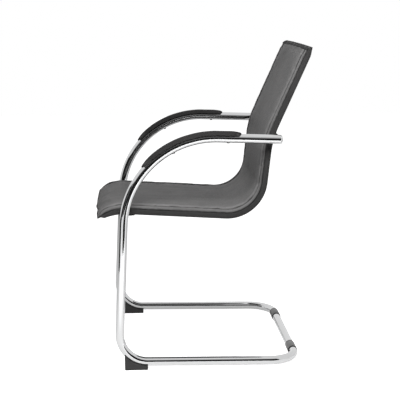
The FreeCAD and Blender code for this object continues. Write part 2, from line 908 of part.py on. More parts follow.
def export(pieces):
    """Centre the chair on the origin, standing on z = 0, and write one file per piece."""
    os.makedirs("parts", exist_ok=True)
    shapes = {}
    for name, piece in pieces.items():
        shapes[name] = Part.Compound(piece) if isinstance(piece, list) else piece
    box = Part.Compound(list(shapes.values())).optimalBoundingBox(False, False)
    shift = vec(0, -(box.YMin + box.YMax) / 2, -box.ZMin)
    for name, shape in sorted(shapes.items()):
        shape.translate(shift)
        shape.exportStep(os.path.join("parts", name + ".step"))
        solids = shape.Solids
        print(name, len(solids), round(shape.Volume), shape.isValid())
    print("moved by", [round(v, 3) for v in shift])
    print("size", [round(v, 2) for v in (box.XLength, box.YLength, box.ZLength)])


export(build())
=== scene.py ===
"""Looks of an upholstered cantilever chair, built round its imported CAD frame.

Lengths are given in millimetres and turned to metres when a mesh is made. +X is the sitter's left,
+Y the rear and +Z up.
"""
import logging
import math
from dataclasses import dataclass
from enum import Enum

import bmesh
import bpy
import numpy as np
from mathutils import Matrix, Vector


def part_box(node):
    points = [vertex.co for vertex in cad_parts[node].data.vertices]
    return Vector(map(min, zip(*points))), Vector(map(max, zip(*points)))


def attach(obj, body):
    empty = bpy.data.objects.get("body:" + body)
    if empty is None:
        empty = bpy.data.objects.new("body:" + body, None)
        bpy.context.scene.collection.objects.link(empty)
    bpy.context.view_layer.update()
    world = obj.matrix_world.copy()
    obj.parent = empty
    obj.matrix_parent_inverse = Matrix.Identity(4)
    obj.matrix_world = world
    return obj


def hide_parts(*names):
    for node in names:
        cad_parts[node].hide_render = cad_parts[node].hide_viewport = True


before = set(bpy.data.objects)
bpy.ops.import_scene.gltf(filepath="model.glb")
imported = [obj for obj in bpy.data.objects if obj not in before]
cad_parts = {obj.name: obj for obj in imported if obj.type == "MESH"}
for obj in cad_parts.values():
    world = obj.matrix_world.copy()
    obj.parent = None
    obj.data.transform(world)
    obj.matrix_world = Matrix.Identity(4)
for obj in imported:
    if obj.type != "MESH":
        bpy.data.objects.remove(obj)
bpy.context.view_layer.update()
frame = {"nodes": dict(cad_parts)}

LOG = logging.getLogger("chair")
MM = 0.001
BODY = "root"
REAR_CORNER_Y = 265.5
SLEEVE_R = 14.0
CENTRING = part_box("left_floor_sleeve")[1].y / MM - REAR_CORNER_Y - SLEEVE_R


class Side(Enum):
    """The two sides of the chair, with the sign of their X."""

    LEFT = 1
    RIGHT = -1

    @property
    def label(self) -> str:
        """The side's word in the names of its pieces."""
        return self.name.lower()


def unit(vectors: np.ndarray) -> np.ndarray:
    """The vectors divided by their lengths."""
    return vectors / np.linalg.norm(vectors, axis=-1, keepdims=True)


def smooth_step(values: np.ndarray) -> np.ndarray:
    """3t^2 - 2t^3 of the values held between 0 and 1."""
    t = np.clip(values, 0.0, 1.0)
    return t * t * (3.0 - 2.0 * t)


def ripple(x: np.ndarray, s: np.ndarray, seed: int, length_x: float, length_s: float,
           waves: int = 9) -> np.ndarray:
    """Soft unevenness: a sum of sine waves with seeded directions and phases, about -1 to 1.

    Args:
        x: Distances across, in millimetres.
        s: Distances along, in millimetres.
        seed: Seed of the directions and phases.
        length_x: Shortest wave length across.
        length_s: Shortest wave length along.
        waves: Number of waves.

    Returns:
        The unevenness at each place.
    """
    source = np.random.RandomState(seed)
    total = np.zeros(np.broadcast(x, s).shape)
    for _ in range(waves):
        kx = source.uniform(-1.0, 1.0) / length_x
        ks = source.uniform(-1.0, 1.0) / length_s
        total = total + np.sin(2.0 * math.pi * (kx * x + ks * s) + source.uniform(0.0, 6.283))
    return total / math.sqrt(waves)


@dataclass(frozen=True)
class Route:
    """A line through corner points whose inner corners are rounded by arcs.

    Args:
        corners: The corner points, in millimetres.
        radii: The rounding radius of each inner corner.
    """

    corners: tuple[tuple[float, float, float], ...]
    radii: tuple[float, ...]

    def sample(self, step: float) -> tuple[np.ndarray, np.ndarray]:
        """Points and directions along the route, a step or less apart.

        A straight run is a + t(b - a). An arc is c + r(cos t * u + sin t * v), with u from its
        centre to its start and v along its first direction.

        Args:
            step: The largest distance between two points.

        Returns:
            The points and the unit directions, each as rows of three.
        """
        corners = np.array(self.corners)
        points, directions = [], []
        start = corners[0]
        for i, radius in enumerate(self.radii):
            corner = corners[i + 1]
            back = unit(corners[i] - corner)
            ahead = unit(corners[i + 2] - corner)
            half = math.acos(float(np.clip(back @ ahead, -1.0, 1.0))) / 2.0
            reach = radius / math.tan(half)
            first = corner + back * reach
            centre = corner + unit(back + ahead) * radius / math.sin(half)
            self._run(points, directions, start, first, step)
            turn = math.pi - 2.0 * half
            t = np.linspace(0.0, turn, max(6, int(radius * turn / step)))[:-1, None]
            u, v = unit(first - centre), -back
            points.append(centre + radius * (np.cos(t) * u + np.sin(t) * v))
            directions.append(np.cos(t) * v - np.sin(t) * u)
            start = corner + ahead * reach
        self._run(points, directions, start, corners[-1], step)
        points.append(corners[-1:])
        directions.append(directions[-1][-1:])
        return np.concatenate(points), np.concatenate(directions)

    @staticmethod
    def _run(points: list, directions: list, a: np.ndarray, b: np.ndarray, step: float) -> None:
        """Adds a straight run from a to b, without its last point."""
        length = float(np.linalg.norm(b - a))
        t = np.linspace(0.0, 1.0, max(2, int(length / step)))[:-1, None]
        points.append(a + t * (b - a))
        directions.append(np.repeat(unit(b - a)[None], len(t), axis=0))


class MeshMaker:
    """Turns grids of points into mesh objects that ride on the chair."""

    @staticmethod
    def quads(rows: int, columns: int, wrap: bool) -> np.ndarray:
        """Corner numbers of the quads of a grid, joined round its columns where it wraps."""
        across = columns if wrap else columns - 1
        i = np.arange(rows - 1)[:, None]
        j = np.arange(across)[None, :]
        k = (j + 1) % columns
        faces = np.stack([i * columns + j, i * columns + k, (i + 1) * columns + k,
                          (i + 1) * columns + j], axis=-1)
        return faces.reshape(-1, 4)

    @staticmethod
    def build(name: str, points: np.ndarray, faces: list[np.ndarray],
              merge: bool = True) -> bpy.types.Object:
        """A mesh object from points in millimetres and groups of faces.

        Args:
            name: The piece's name.
            points: Rows of three.
            faces: Arrays of corner numbers, one row for each face.
            merge: Whether points on the same place become one.

        Returns:
            The object, with its faces turned outwards and shaded smooth.
        """
        mesh = bpy.data.meshes.new(name)
        corner_lists = [row for group in faces for row in group.tolist()]
        mesh.from_pydata((points * MM).tolist(), [], corner_lists)
        mesh.validate()
        mesh.update()
        piece = bpy.data.objects.new(name, mesh)
        bpy.context.scene.collection.objects.link(piece)
        MeshMaker.face_outwards(piece, merge)
        mesh.shade_smooth()
        return piece

    @staticmethod
    def face_outwards(piece: bpy.types.Object, merge: bool) -> None:
        """Turns a closed mesh's faces outwards, after its doubles are merged where asked."""
        work = bmesh.new()
        work.from_mesh(piece.data)
        if merge:
            bmesh.ops.remove_doubles(work, verts=work.verts, dist=1e-7)
        bmesh.ops.recalc_face_normals(work, faces=work.faces)
        work.to_mesh(piece.data)
        work.free()

    @classmethod
    def slab(cls, name: str, top: np.ndarray, bottom: np.ndarray,
             merge: bool = True) -> bpy.types.Object:
        """A closed sheet between two grids of the same shape, walled round all four edges."""
        rows, columns = top.shape[:2]
        count = rows * columns
        faces = cls.quads(rows, columns, False)
        rim = np.concatenate([
            np.arange(columns), np.arange(1, rows) * columns + columns - 1,
            (rows - 1) * columns + np.arange(columns - 2, -1, -1),
            np.arange(rows - 2, 0, -1) * columns])
        following = np.roll(rim, -1)
        wall = np.stack([following, rim, rim + count, following + count], axis=-1)
        points = np.concatenate([top.reshape(-1, 3), bottom.reshape(-1, 3)])
        return cls.build(name, points, [faces, faces[:, ::-1] + count, wall], merge)

    @classmethod
    def skin(cls, name: str, rings: np.ndarray) -> bpy.types.Object:
        """A closed body from rings of points, with a flat face over each end ring."""
        rows, columns = rings.shape[:2]
        faces = cls.quads(rows, columns, True)
        ends = np.stack([np.arange(columns)[::-1], (rows - 1) * columns + np.arange(columns)])
        return cls.build(name, rings.reshape(-1, 3), [faces, ends])

    @classmethod
    def hoop(cls, name: str, rings: np.ndarray) -> bpy.types.Object:
        """A closed body from rings of points, where the last ring joins the first."""
        rows, columns = rings.shape[:2]
        faces = cls.quads(rows + 1, columns, True) % (rows * columns)
        return cls.build(name, rings.reshape(-1, 3), [faces])

    @classmethod
    def tube(cls, name: str, points: np.ndarray, directions: np.ndarray, radius: float,
             around: int = 56) -> bpy.types.Object:
        """A round bar along a line: each ring is p + r(cos t * u + sin t * v).

        u is square to the line's direction and to a slanted vector that it never follows, and v
        is square to both.
        """
        slant = np.array([1.0, 0.0, 1.0]) / math.sqrt(2.0)
        u = unit(np.cross(directions, slant))
        v = np.cross(directions, u)
        t = np.linspace(0.0, 2.0 * math.pi, around, endpoint=False)[None, :, None]
        rings = points[:, None] + radius * (np.cos(t) * u[:, None] + np.sin(t) * v[:, None])
        return cls.skin(name, rings)

    @classmethod
    def turned(cls, name: str, profile: np.ndarray, origin: np.ndarray, axis: np.ndarray,
               closed: bool, around: int = 64) -> bpy.types.Object:
        """A turned piece: origin + axis * a + r(cos t * u + sin t * v) for profile rows (a, r)."""
        axis = unit(axis)
        u = unit(np.cross(axis, np.array([0.3, 0.5, 0.9])))
        v = np.cross(axis, u)
        t = np.linspace(0.0, 2.0 * math.pi, around, endpoint=False)[None, :, None]
        along = profile[:, 0, None, None]
        out = profile[:, 1, None, None]
        rings = origin + axis * along + out * (np.cos(t) * u + np.sin(t) * v)
        return cls.hoop(name, rings) if closed else cls.skin(name, rings)


def fit_out(piece: bpy.types.Object, material: bpy.types.Material,
            nodes: tuple[str, ...] = ()) -> bpy.types.Object:
    """Gives a new piece its body, finish and the CAD nodes that it stands for.

    Args:
        piece: The new piece.
        material: The piece's material.
        nodes: The CAD nodes that it replaces.

    Returns:
        The same piece.
    """
    piece.data.materials.clear()
    piece.data.materials.append(material)
    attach(piece, BODY)
    if nodes:
        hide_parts(*nodes)
    LOG.info("%s: %d faces", piece.name, len(piece.data.polygons))
    return piece


def dress_node(node: str, material: bpy.types.Material) -> None:
    """Gives a CAD node that stays its own better material."""
    slots = frame["nodes"][node].data.materials
    slots.clear()
    slots.append(material)


class Nodes:
    """A short way to write shader nodes and their links."""

    def __init__(self, tree: bpy.types.NodeTree) -> None:
        """Args:
            tree: The node tree that is written.
        """
        self.tree = tree

    def add(self, kind: str, settings: dict | None = None, **inputs: object) -> bpy.types.Node:
        """Adds a node, sets its properties and fills its inputs by name or number.

        Args:
            kind: The node's type, without its ShaderNode prefix.
            settings: Properties of the node.
            **inputs: Values or sockets; a trailing number such as in_0 means the input's place.

        Returns:
            The node.
        """
        node = self.tree.nodes.new("ShaderNode" + kind)
        for key, value in (settings or {}).items():
            setattr(node, key, value)
        for key, value in inputs.items():
            where = int(key[3:]) if key.startswith("in_") else key.replace("_", " ")
            if isinstance(value, bpy.types.NodeSocket):
                self.tree.links.new(value, node.inputs[where])
            else:
                node.inputs[where].default_value = value
        return node

    def math(self, operation: str, a: object, b: object = 0.0) -> bpy.types.NodeSocket:
        """The result of a Math node."""
        return self.add("Math", {"operation": operation}, in_0=a, in_1=b).outputs[0]

    def smooth(self, value: object, start: float, end: float, low: float = 0.0,
               high: float = 1.0) -> bpy.types.NodeSocket:
        """A smooth step of a value, from low at the start to high at the end."""
        return self.add("MapRange", {"interpolation_type": "SMOOTHSTEP"}, Value=value, in_1=start,
                        in_2=end, in_3=low, in_4=high).outputs[0]

    def blend(self, share: object, a: object, b: object) -> bpy.types.NodeSocket:
        """Colour a turned to colour b by a share."""
        node = self.add("Mix", {"data_type": "RGBA"})
        for place, value in ((0, share), (6, a), (7, b)):
            if isinstance(value, bpy.types.NodeSocket):
                self.tree.links.new(value, node.inputs[place])
            else:
                node.inputs[place].default_value = value
        return node.outputs[2]


class Patterns:
    """Shader groups that several finishes share, each built once."""

    _made: dict[str, bpy.types.NodeTree] = {}

    @classmethod
    def _new(cls, name: str, inputs: dict[str, float], outputs: tuple[str, ...]) -> tuple:
        """A new group tree with float inputs and outputs, and its inner sockets."""
        tree = bpy.data.node_groups.new(name, "ShaderNodeTree")
        for label, value in inputs.items():
            socket = tree.interface.new_socket(label, in_out="INPUT",
                                               socket_type="NodeSocketFloat")
            socket.default_value = value
        for label in outputs:
            tree.interface.new_socket(label, in_out="OUTPUT", socket_type="NodeSocketFloat")
        entry = tree.nodes.new("NodeGroupInput")
        leave = tree.nodes.new("NodeGroupOutput")
        return tree, entry, leave

    @classmethod
    def leather_grain(cls) -> bpy.types.NodeTree:
        """Pebbled grain: cells whose borders are low, pulled about by noise, with fine pores.

        Inputs are Cell Size in metres and Warp; outputs are Height and Crease, which is 1 in the
        borders between cells.
        """
        if "grain" in cls._made:
            return cls._made["grain"]
        tree, entry, leave = cls._new("LeatherGrain", {"Cell Size": 0.0012, "Warp": 0.35},
                                      ("Height", "Crease"))
        n = Nodes(tree)
        place = n.add("TexCoord").outputs["Object"]
        scale = n.math("DIVIDE", 1.0, entry.outputs["Cell Size"])
        noise = n.add("TexNoise", {"noise_dimensions": "3D"}, Vector=place, Scale=260.0,
                      Detail=2.0)
        shift = n.add("VectorMath", {"operation": "SCALE"}, in_0=noise.outputs["Color"])
        pull = n.math("MULTIPLY", entry.outputs["Warp"], entry.outputs["Cell Size"])
        tree.links.new(pull, shift.inputs["Scale"])
        moved = n.add("VectorMath", {"operation": "ADD"}, in_0=place, in_1=shift.outputs[0])
        cells = n.add("TexVoronoi", {"feature": "DISTANCE_TO_EDGE"}, Vector=moved.outputs[0],
                      Scale=scale)
        border = n.smooth(cells.outputs["Distance"], 0.0, 0.22)
        pores = n.add("TexNoise", Vector=place, Scale=2600.0, Detail=2.0)
        rough = n.math("MULTIPLY", pores.outputs[0], 0.25)
        tree.links.new(n.math("ADD", border, rough), leave.inputs["Height"])
        tree.links.new(n.math("SUBTRACT", 1.0, border), leave.inputs["Crease"])
        cls._made["grain"] = tree
        return tree

    @classmethod
    def mottle(cls) -> bpy.types.NodeTree:
        """Broad and fine unevenness of tone, from 0 to 1, with a Size in metres."""
        if "mottle" in cls._made:
            return cls._made["mottle"]
        tree, entry, leave = cls._new("Mottle", {"Size": 0.08}, ("Broad", "Fine"))
        n = Nodes(tree)
        place = n.add("TexCoord").outputs["Object"]
        scale = n.math("DIVIDE", 1.0, entry.outputs["Size"])
        broad = n.add("TexNoise", Vector=place, Scale=scale, Detail=3.0)
        fine = n.add("TexNoise", Vector=place, Scale=n.math("MULTIPLY", scale, 14.0), Detail=4.0)
        tree.links.new(broad.outputs[0], leave.inputs["Broad"])
        tree.links.new(fine.outputs[0], leave.inputs["Fine"])
        cls._made["mottle"] = tree
        return tree

    @classmethod
    def painted_seam_shading(cls) -> bpy.types.NodeTree:
        """A factor on the cover's colour by the distance from its middle line, in metres.

        It is painted light and shade. It paints shade into the stitch channels and the side seams,
        paints highlights on the ridges beside them, on a broad band round each stitch line and on
        the side roll, and lays the painted shade and highlights of faint folds along them. The
        output is
        Tone.
        """
        if "lines" in cls._made:
            return cls._made["lines"]
        tree, _, leave = cls._new("PaintedSeamShading", {}, ("Tone",))
        n = Nodes(tree)
        place = n.add("TexCoord").outputs["Object"]
        out = n.math("ABSOLUTE", n.add("SeparateXYZ", Vector=place).outputs[0])
        tone: object = 1.0
        # Painted shade in the stitch channels and seam grooves (negative amounts); painted
        # highlights on the ridges, the broad band and the roll (positive amounts).
        stitch, ridge = (0.1905, 0.0125, -0.85), (0.175, 0.0130, 0.44)
        rise, roll, seam = (0.160, 0.0500, 0.10), (0.2055, 0.0095, 0.34), (0.2185, 0.0065, -0.86)
        for centre, half, amount in (stitch, ridge, rise, roll, seam):
            off = n.math("ABSOLUTE", n.math("SUBTRACT", out, centre))
            tone = n.math("ADD", tone, n.smooth(off, 0.0, half, amount, 0.0))
        # Painted shade and highlights of faint folds, stronger towards the edges.
        stretched = n.add("VectorMath", {"operation": "MULTIPLY"}, in_0=place,
                          in_1=(1.0, 0.05, 0.05))
        folds = n.add("TexNoise", Vector=stretched.outputs[0], Scale=150.0, Detail=2.0)
        near = n.smooth(out, 0.10, 0.175, 0.06, 0.34)
        fold = n.math("MULTIPLY", n.math("SUBTRACT", folds.outputs[0], 0.5), near)
        tree.links.new(n.math("ADD", tone, fold), leave.inputs["Tone"])
        cls._made["lines"] = tree
        return tree


def grey(value: float) -> tuple[float, float, float, float]:
    """A neutral linear colour."""
    return (value, value, value, 1.0)


def warm_grey(value: float) -> tuple[float, float, float, float]:
    """A linear grey with a little warmth."""
    return (value * 1.01, value * 0.995, value * 0.995, 1.0)


@dataclass(frozen=True)
class Finish:
    """What every finish has: a name and a base colour as a linear grey level."""

    name: str
    level: float

    def start(self) -> tuple[bpy.types.Material, Nodes, bpy.types.Node]:
        """A new material with its node writer and its Principled shader."""
        material = bpy.data.materials.new(self.name)
        material.use_nodes = True
        nodes = Nodes(material.node_tree)
        return material, nodes, material.node_tree.nodes["Principled BSDF"]

    def place(self, nodes: Nodes, group: bpy.types.NodeTree, **inputs: float) -> bpy.types.Node:
        """A shared group placed in this material with its own values."""
        node = nodes.add("Group", {"node_tree": group})
        for label, value in inputs.items():
            node.inputs[label.replace("_", " ")].default_value = value
        return node


@dataclass(frozen=True)
class Leather(Finish):
    """Coated leather cloth: pebbled grain, uneven tone and a soft sheen."""

    grain_size: float = 0.0012
    grain_depth: float = 0.00010
    roughness: float = 0.50
    wear: float = 0.10
    # Whether painted seam shade and highlights are laid on the colour.
    lines: bool = False
    sheen: float = 0.02

    def make(self) -> bpy.types.Material:
        """Builds the material."""
        material, n, shader = self.start()
        grain = self.place(n, Patterns.leather_grain(), Cell_Size=self.grain_size)
        tone = self.place(n, Patterns.mottle(), Size=0.09)
        lift = n.add("MapRange", Value=tone.outputs["Broad"], in_1=0.3, in_2=0.7,
                     in_3=1.0 - self.wear, in_4=1.0 + self.wear)
        plain = n.blend(n.math("MULTIPLY", grain.outputs["Crease"], 0.45),
                        warm_grey(self.level), warm_grey(self.level * 0.55))
        # Painted shade and highlights along the seams scale the colour here.
        if self.lines:
            lines = self.place(n, Patterns.painted_seam_shading())
            scale = n.math("MULTIPLY", lift.outputs[0], lines.outputs["Tone"])
        else:
            scale = lift.outputs[0]
        shade = n.add("VectorMath", {"operation": "SCALE"}, in_0=plain)
        n.tree.links.new(scale, shade.inputs["Scale"])
        n.tree.links.new(shade.outputs[0], shader.inputs["Base Color"])
        rough = n.add("MapRange", Value=tone.outputs["Fine"], in_1=0.3, in_2=0.7,
                      in_3=self.roughness - 0.05, in_4=self.roughness + 0.06)
        n.tree.links.new(rough.outputs[0], shader.inputs["Roughness"])
        shader.inputs["Specular IOR Level"].default_value = self.sheen
        bump = n.add("Bump", Height=grain.outputs["Height"], Distance=self.grain_depth,
                     Strength=0.7)
        n.tree.links.new(bump.outputs[0], shader.inputs["Normal"])
        return material


@dataclass(frozen=True)
class Chrome(Finish):
    """Polished plate: near mirror, with faint handling marks in its roughness."""

    def make(self) -> bpy.types.Material:
        """Builds the material."""
        material, n, shader = self.start()
        marks = self.place(n, Patterns.mottle(), Size=0.03)
        shader.inputs["Metallic"].default_value = 1.0
        cool = (self.level * 0.985, self.level * 0.995, self.level * 1.01, 1.0)
        dull = grey(self.level * 0.94)
        n.tree.links.new(n.blend(marks.outputs["Broad"], cool, dull), shader.inputs["Base Color"])
        rough = n.add("MapRange", Value=marks.outputs["Fine"], in_1=0.35, in_2=0.75,
                      in_3=0.035, in_4=0.085)
        n.tree.links.new(rough.outputs[0], shader.inputs["Roughness"])
        return material


@dataclass(frozen=True)
class Moulded(Finish):
    """Moulded plastic: a fine spark-eroded texture and a slightly uneven sheen."""

    roughness: float = 0.5
    texture_depth: float = 0.00004

    def make(self) -> bpy.types.Material:
        """Builds the material."""
        material, n, shader = self.start()
        tone = self.place(n, Patterns.mottle(), Size=0.02)
        tint = n.blend(tone.outputs["Broad"], grey(self.level * 0.86), grey(self.level * 1.14))
        n.tree.links.new(tint, shader.inputs["Base Color"])
        rough = n.add("MapRange", Value=tone.outputs["Fine"], in_1=0.3, in_2=0.7,
                      in_3=self.roughness - 0.06, in_4=self.roughness + 0.06)
        n.tree.links.new(rough.outputs[0], shader.inputs["Roughness"])
        place = n.add("TexCoord").outputs["Object"]
        spark = n.add("TexNoise", Vector=place, Scale=2200.0, Detail=1.0)
        bump = n.add("Bump", Height=spark.outputs[0], Distance=self.texture_depth, Strength=0.6)
        n.tree.links.new(bump.outputs[0], shader.inputs["Normal"])
        return material


@dataclass(frozen=True)
class Thread(Finish):
    """Twisted sewing thread."""

    def make(self) -> bpy.types.Material:
        """Builds the material."""
        material, n, shader = self.start()
        place = n.add("TexCoord").outputs["Object"]
        twist = n.add("TexWave", {"bands_direction": "DIAGONAL"}, Vector=place, Scale=900.0,
                      Distortion=0.6)
        tint = n.blend(twist.outputs["Fac"], grey(self.level * 0.6), grey(self.level * 1.3))
        n.tree.links.new(tint, shader.inputs["Base Color"])
        shader.inputs["Roughness"].default_value = 0.62
        return material


@dataclass(frozen=True)
class Plywood(Finish):
    """Moulded beech plywood: thin plies in its edge and a fine grain along its faces."""

    def make(self) -> bpy.types.Material:
        """Builds the material."""
        material, n, shader = self.start()
        place = n.add("TexCoord").outputs["Object"]
        grain = n.add("Mapping", Vector=place, Scale=(12.0, 160.0, 160.0))
        fibre = n.add("TexNoise", Vector=grain.outputs[0], Scale=4.0, Detail=6.0)
        light = (self.level, self.level * 0.72, self.level * 0.45, 1.0)
        dark = (self.level * 0.68, self.level * 0.44, self.level * 0.24, 1.0)
        n.tree.links.new(n.blend(fibre.outputs[0], dark, light), shader.inputs["Base Color"])
        shader.inputs["Roughness"].default_value = 0.55
        return material


@dataclass(frozen=True)
class Zinc(Finish):
    """Zinc-plated fasteners: a grey metal with a mottled passivated skin."""

    def make(self) -> bpy.types.Material:
        """Builds the material."""
        material, n, shader = self.start()
        tone = self.place(n, Patterns.mottle(), Size=0.004)
        shader.inputs["Metallic"].default_value = 1.0
        tint = n.blend(tone.outputs["Fine"], grey(self.level * 0.8), grey(self.level * 1.1))
        n.tree.links.new(tint, shader.inputs["Base Color"])
        shader.inputs["Roughness"].default_value = 0.32
        return material


class Finishes:
    """Every finish of the chair, built once."""

    def __init__(self) -> None:
        """Builds the materials in order."""
        # The cover gets painted shade and highlights along its seams.
        self.cover = Leather("cover_leather", 0.090, lines=True).make()
        # The band's leather is the cover's made darker: painted shade on its upright sides.
        self.band = Leather("band_leather", 0.026, grain_size=0.0011).make()
        # The bindings' leather is the cover's made darker: painted shade along the rolled edges.
        self.hem = Leather("hem_leather", 0.018, roughness=0.55).make()
        self.pad = Leather("pad_leather", 0.018, grain_size=0.0013, roughness=0.5).make()
        self.thread = Thread("seam_thread", 0.05).make()
        self.chrome = Chrome("chrome_plate", 0.63).make()
        self.cap = Moulded("cap_plastic", 0.52, roughness=0.3).make()
        self.sleeve = Moulded("sleeve_plastic", 0.092, roughness=0.45).make()
        # The lips' near-black colour is painted shade for the shaded end faces and gaps of the
        # sleeves.
        self.lip = Moulded("sleeve_lip_painted_shade", 0.006, roughness=0.6).make()
        self.foot = Moulded("foot_plastic", 0.017, roughness=0.55, texture_depth=0.00006).make()
        self.saddle = Moulded("saddle_plastic", 0.012, roughness=0.6).make()
        self.wood = Plywood("beech_plywood", 0.55).make()
        self.zinc = Zinc("zinc_plate", 0.55).make()


@dataclass(frozen=True)
class TubeFrame:
    """The chromed frame: two side halves, the connector, the sleeves, the plugs and the feet."""

    tube_r: float = 12.5
    side_x: float = 270.0
    arm_end_y: float = 209.0
    arm_end_z: float = 656.0
    arm_corner_y: float = -219.0
    arm_corner_z: float = 670.2
    arm_bend_r: float = 256.0
    floor_corner_y: float = -248.0
    floor_corner_z: float = 23.0
    floor_bend_r: float = 80.0
    rear_bend_r: float = 80.0
    stub_length: float = 28.0
    cap_dome: float = 4.3
    sleeve_length: float = 55.0
    lip_width: float = 4.0
    bend_step: float = 3.0

    def route(self, side: Side) -> Route:
        """The side frame's centre line, from the arm's end round to its stub at the rear."""
        x = self.side_x * side.value
        stub = (self.side_x - self.rear_bend_r - self.stub_length) * side.value
        shift = CENTRING
        corners = (
            (x, self.arm_end_y + shift, self.arm_end_z),
            (x, self.arm_corner_y + shift, self.arm_corner_z),
            (x, self.floor_corner_y + shift, self.floor_corner_z),
            (x, REAR_CORNER_Y + shift, SLEEVE_R),
            (stub, REAR_CORNER_Y + shift, SLEEVE_R),
        )
        return Route(corners, (self.arm_bend_r, self.floor_bend_r, self.rear_bend_r))

    def build_side(self, side: Side, finishes: Finishes) -> None:
        """Builds one half with its plug, sleeve and foot."""
        points, directions = self.route(side).sample(self.bend_step)
        tube = MeshMaker.tube(side.label + "_frame_tube", points, directions, self.tube_r)
        fit_out(tube, finishes.chrome, (side.label + "_side_frame",))
        self._plug(side, points[0], -directions[0], finishes)
        self._sleeve(side, finishes)
        self._foot(side, finishes)

    def _plug(self, side: Side, end: np.ndarray, outward: np.ndarray, finishes: Finishes) -> None:
        """A domed plug: a spherical cap over a short rim that stands on the tube's end."""
        rim = self.tube_r - 0.15
        ball = (rim ** 2 + self.cap_dome ** 2) / (2.0 * self.cap_dome)
        reach = math.asin(rim / ball)
        t = np.linspace(reach, 0.02, 14)
        dome = np.stack([self.cap_dome - ball + ball * np.cos(t), ball * np.sin(t)], axis=-1)
        dome[:, 0] += 0.4
        foot = np.array([[-2.0, rim - 2.5], [0.1, rim - 2.0], [0.1, rim - 0.3], [0.35, rim]])
        piece = MeshMaker.turned(side.label + "_end_plug", np.concatenate([foot, dome]), end,
                                 outward, closed=False)
        fit_out(piece, finishes.cap, (side.label + "_arm_end_cap",))

    def _sleeve(self, side: Side, finishes: Finishes) -> None:
        """The sleeve over the floor joint, with a soft-edged body and a dark lip at each end."""
        outer = (self.side_x - self.rear_bend_r) * side.value
        origin = np.array([outer, REAR_CORNER_Y + CENTRING, SLEEVE_R])
        inward = np.array([-side.value, 0.0, 0.0])
        bore = self.tube_r + 0.1
        start, end = self.lip_width, self.sleeve_length - self.lip_width
        edge = 0.6
        body = np.array([
            [start, bore], [start, SLEEVE_R - edge], [start + 0.2 * edge, SLEEVE_R - 0.35 * edge],
            [start + edge, SLEEVE_R], [end - edge, SLEEVE_R],
            [end - 0.2 * edge, SLEEVE_R - 0.35 * edge], [end, SLEEVE_R - edge], [end, bore]])
        sleeve = MeshMaker.turned(side.label + "_sleeve_body", body, origin, inward, closed=True)
        fit_out(sleeve, finishes.sleeve, (side.label + "_floor_sleeve",))
        # Each lip's near-black colour is painted shade for the sleeve's shaded end face and gap.
        for label, low, high in (("outer", 0.0, start), ("inner", end, self.sleeve_length)):
            ring = np.array([[low, bore], [low, SLEEVE_R - 0.5], [low + 0.4, SLEEVE_R],
                             [high - 0.4, SLEEVE_R], [high, SLEEVE_R - 0.5], [high, bore]])
            lip = MeshMaker.turned(f"{side.label}_{label}_sleeve_lip", ring, origin, inward,
                                   closed=True)
            fit_out(lip, finishes.lip)

    def _foot(self, side: Side, finishes: Finishes) -> None:
        """The moulded wedge: the CAD node's own shape with eased edges."""
        node = side.label + "_front_foot"
        piece = frame["nodes"][node].copy()
        piece.data = piece.data.copy()
        piece.name = side.label + "_foot_wedge"
        for key in list(piece.keys()):
            del piece[key]
        piece.parent = None
        bpy.context.scene.collection.objects.link(piece)
        work = bmesh.new()
        work.from_mesh(piece.data)
        bmesh.ops.remove_doubles(work, verts=work.verts, dist=1e-6)
        bmesh.ops.dissolve_limit(work, angle_limit=math.radians(1.0), verts=work.verts,
                                 edges=work.edges)
        bmesh.ops.recalc_face_normals(work, faces=work.faces)
        work.to_mesh(piece.data)
        work.free()
        piece.data.shade_flat()
        bevel = piece.modifiers.new("eased_edges", "BEVEL")
        bevel.width = 0.7 * MM
        bevel.segments = 2
        bevel.limit_method = "ANGLE"
        bevel.angle_limit = math.radians(40.0)
        fit_out(piece, finishes.foot, (node,))

    def build_connector(self, finishes: Finishes) -> None:
        """The straight cross tube, from inside one sleeve to inside the other."""
        half = self.side_x - self.rear_bend_r - self.stub_length - 0.2
        x = np.linspace(-half, half, 40)
        points = np.stack([x, np.full_like(x, REAR_CORNER_Y + CENTRING),
                           np.full_like(x, SLEEVE_R)], axis=-1)
        directions = np.repeat(np.array([[1.0, 0.0, 0.0]]), len(x), axis=0)
        tube = MeshMaker.tube("connector_bar", points, directions, self.tube_r)
        fit_out(tube, finishes.chrome, ("floor_connector_tube",))

    def dress_nodes(self, finishes: Finishes) -> None:
        """Finishes of the brackets and fasteners, whose CAD shape stays."""
        for side in Side:
            dress_node(side.label + "_seat_bracket", finishes.chrome)
            dress_node(side.label + "_back_bracket", finishes.chrome)
        for node in ("floor_joint_screws", "front_foot_screws", "arm_pad_screws", "shell_bolts",
                     "shell_washers", "shell_tee_nuts"):
            dress_node(node, finishes.zinc)


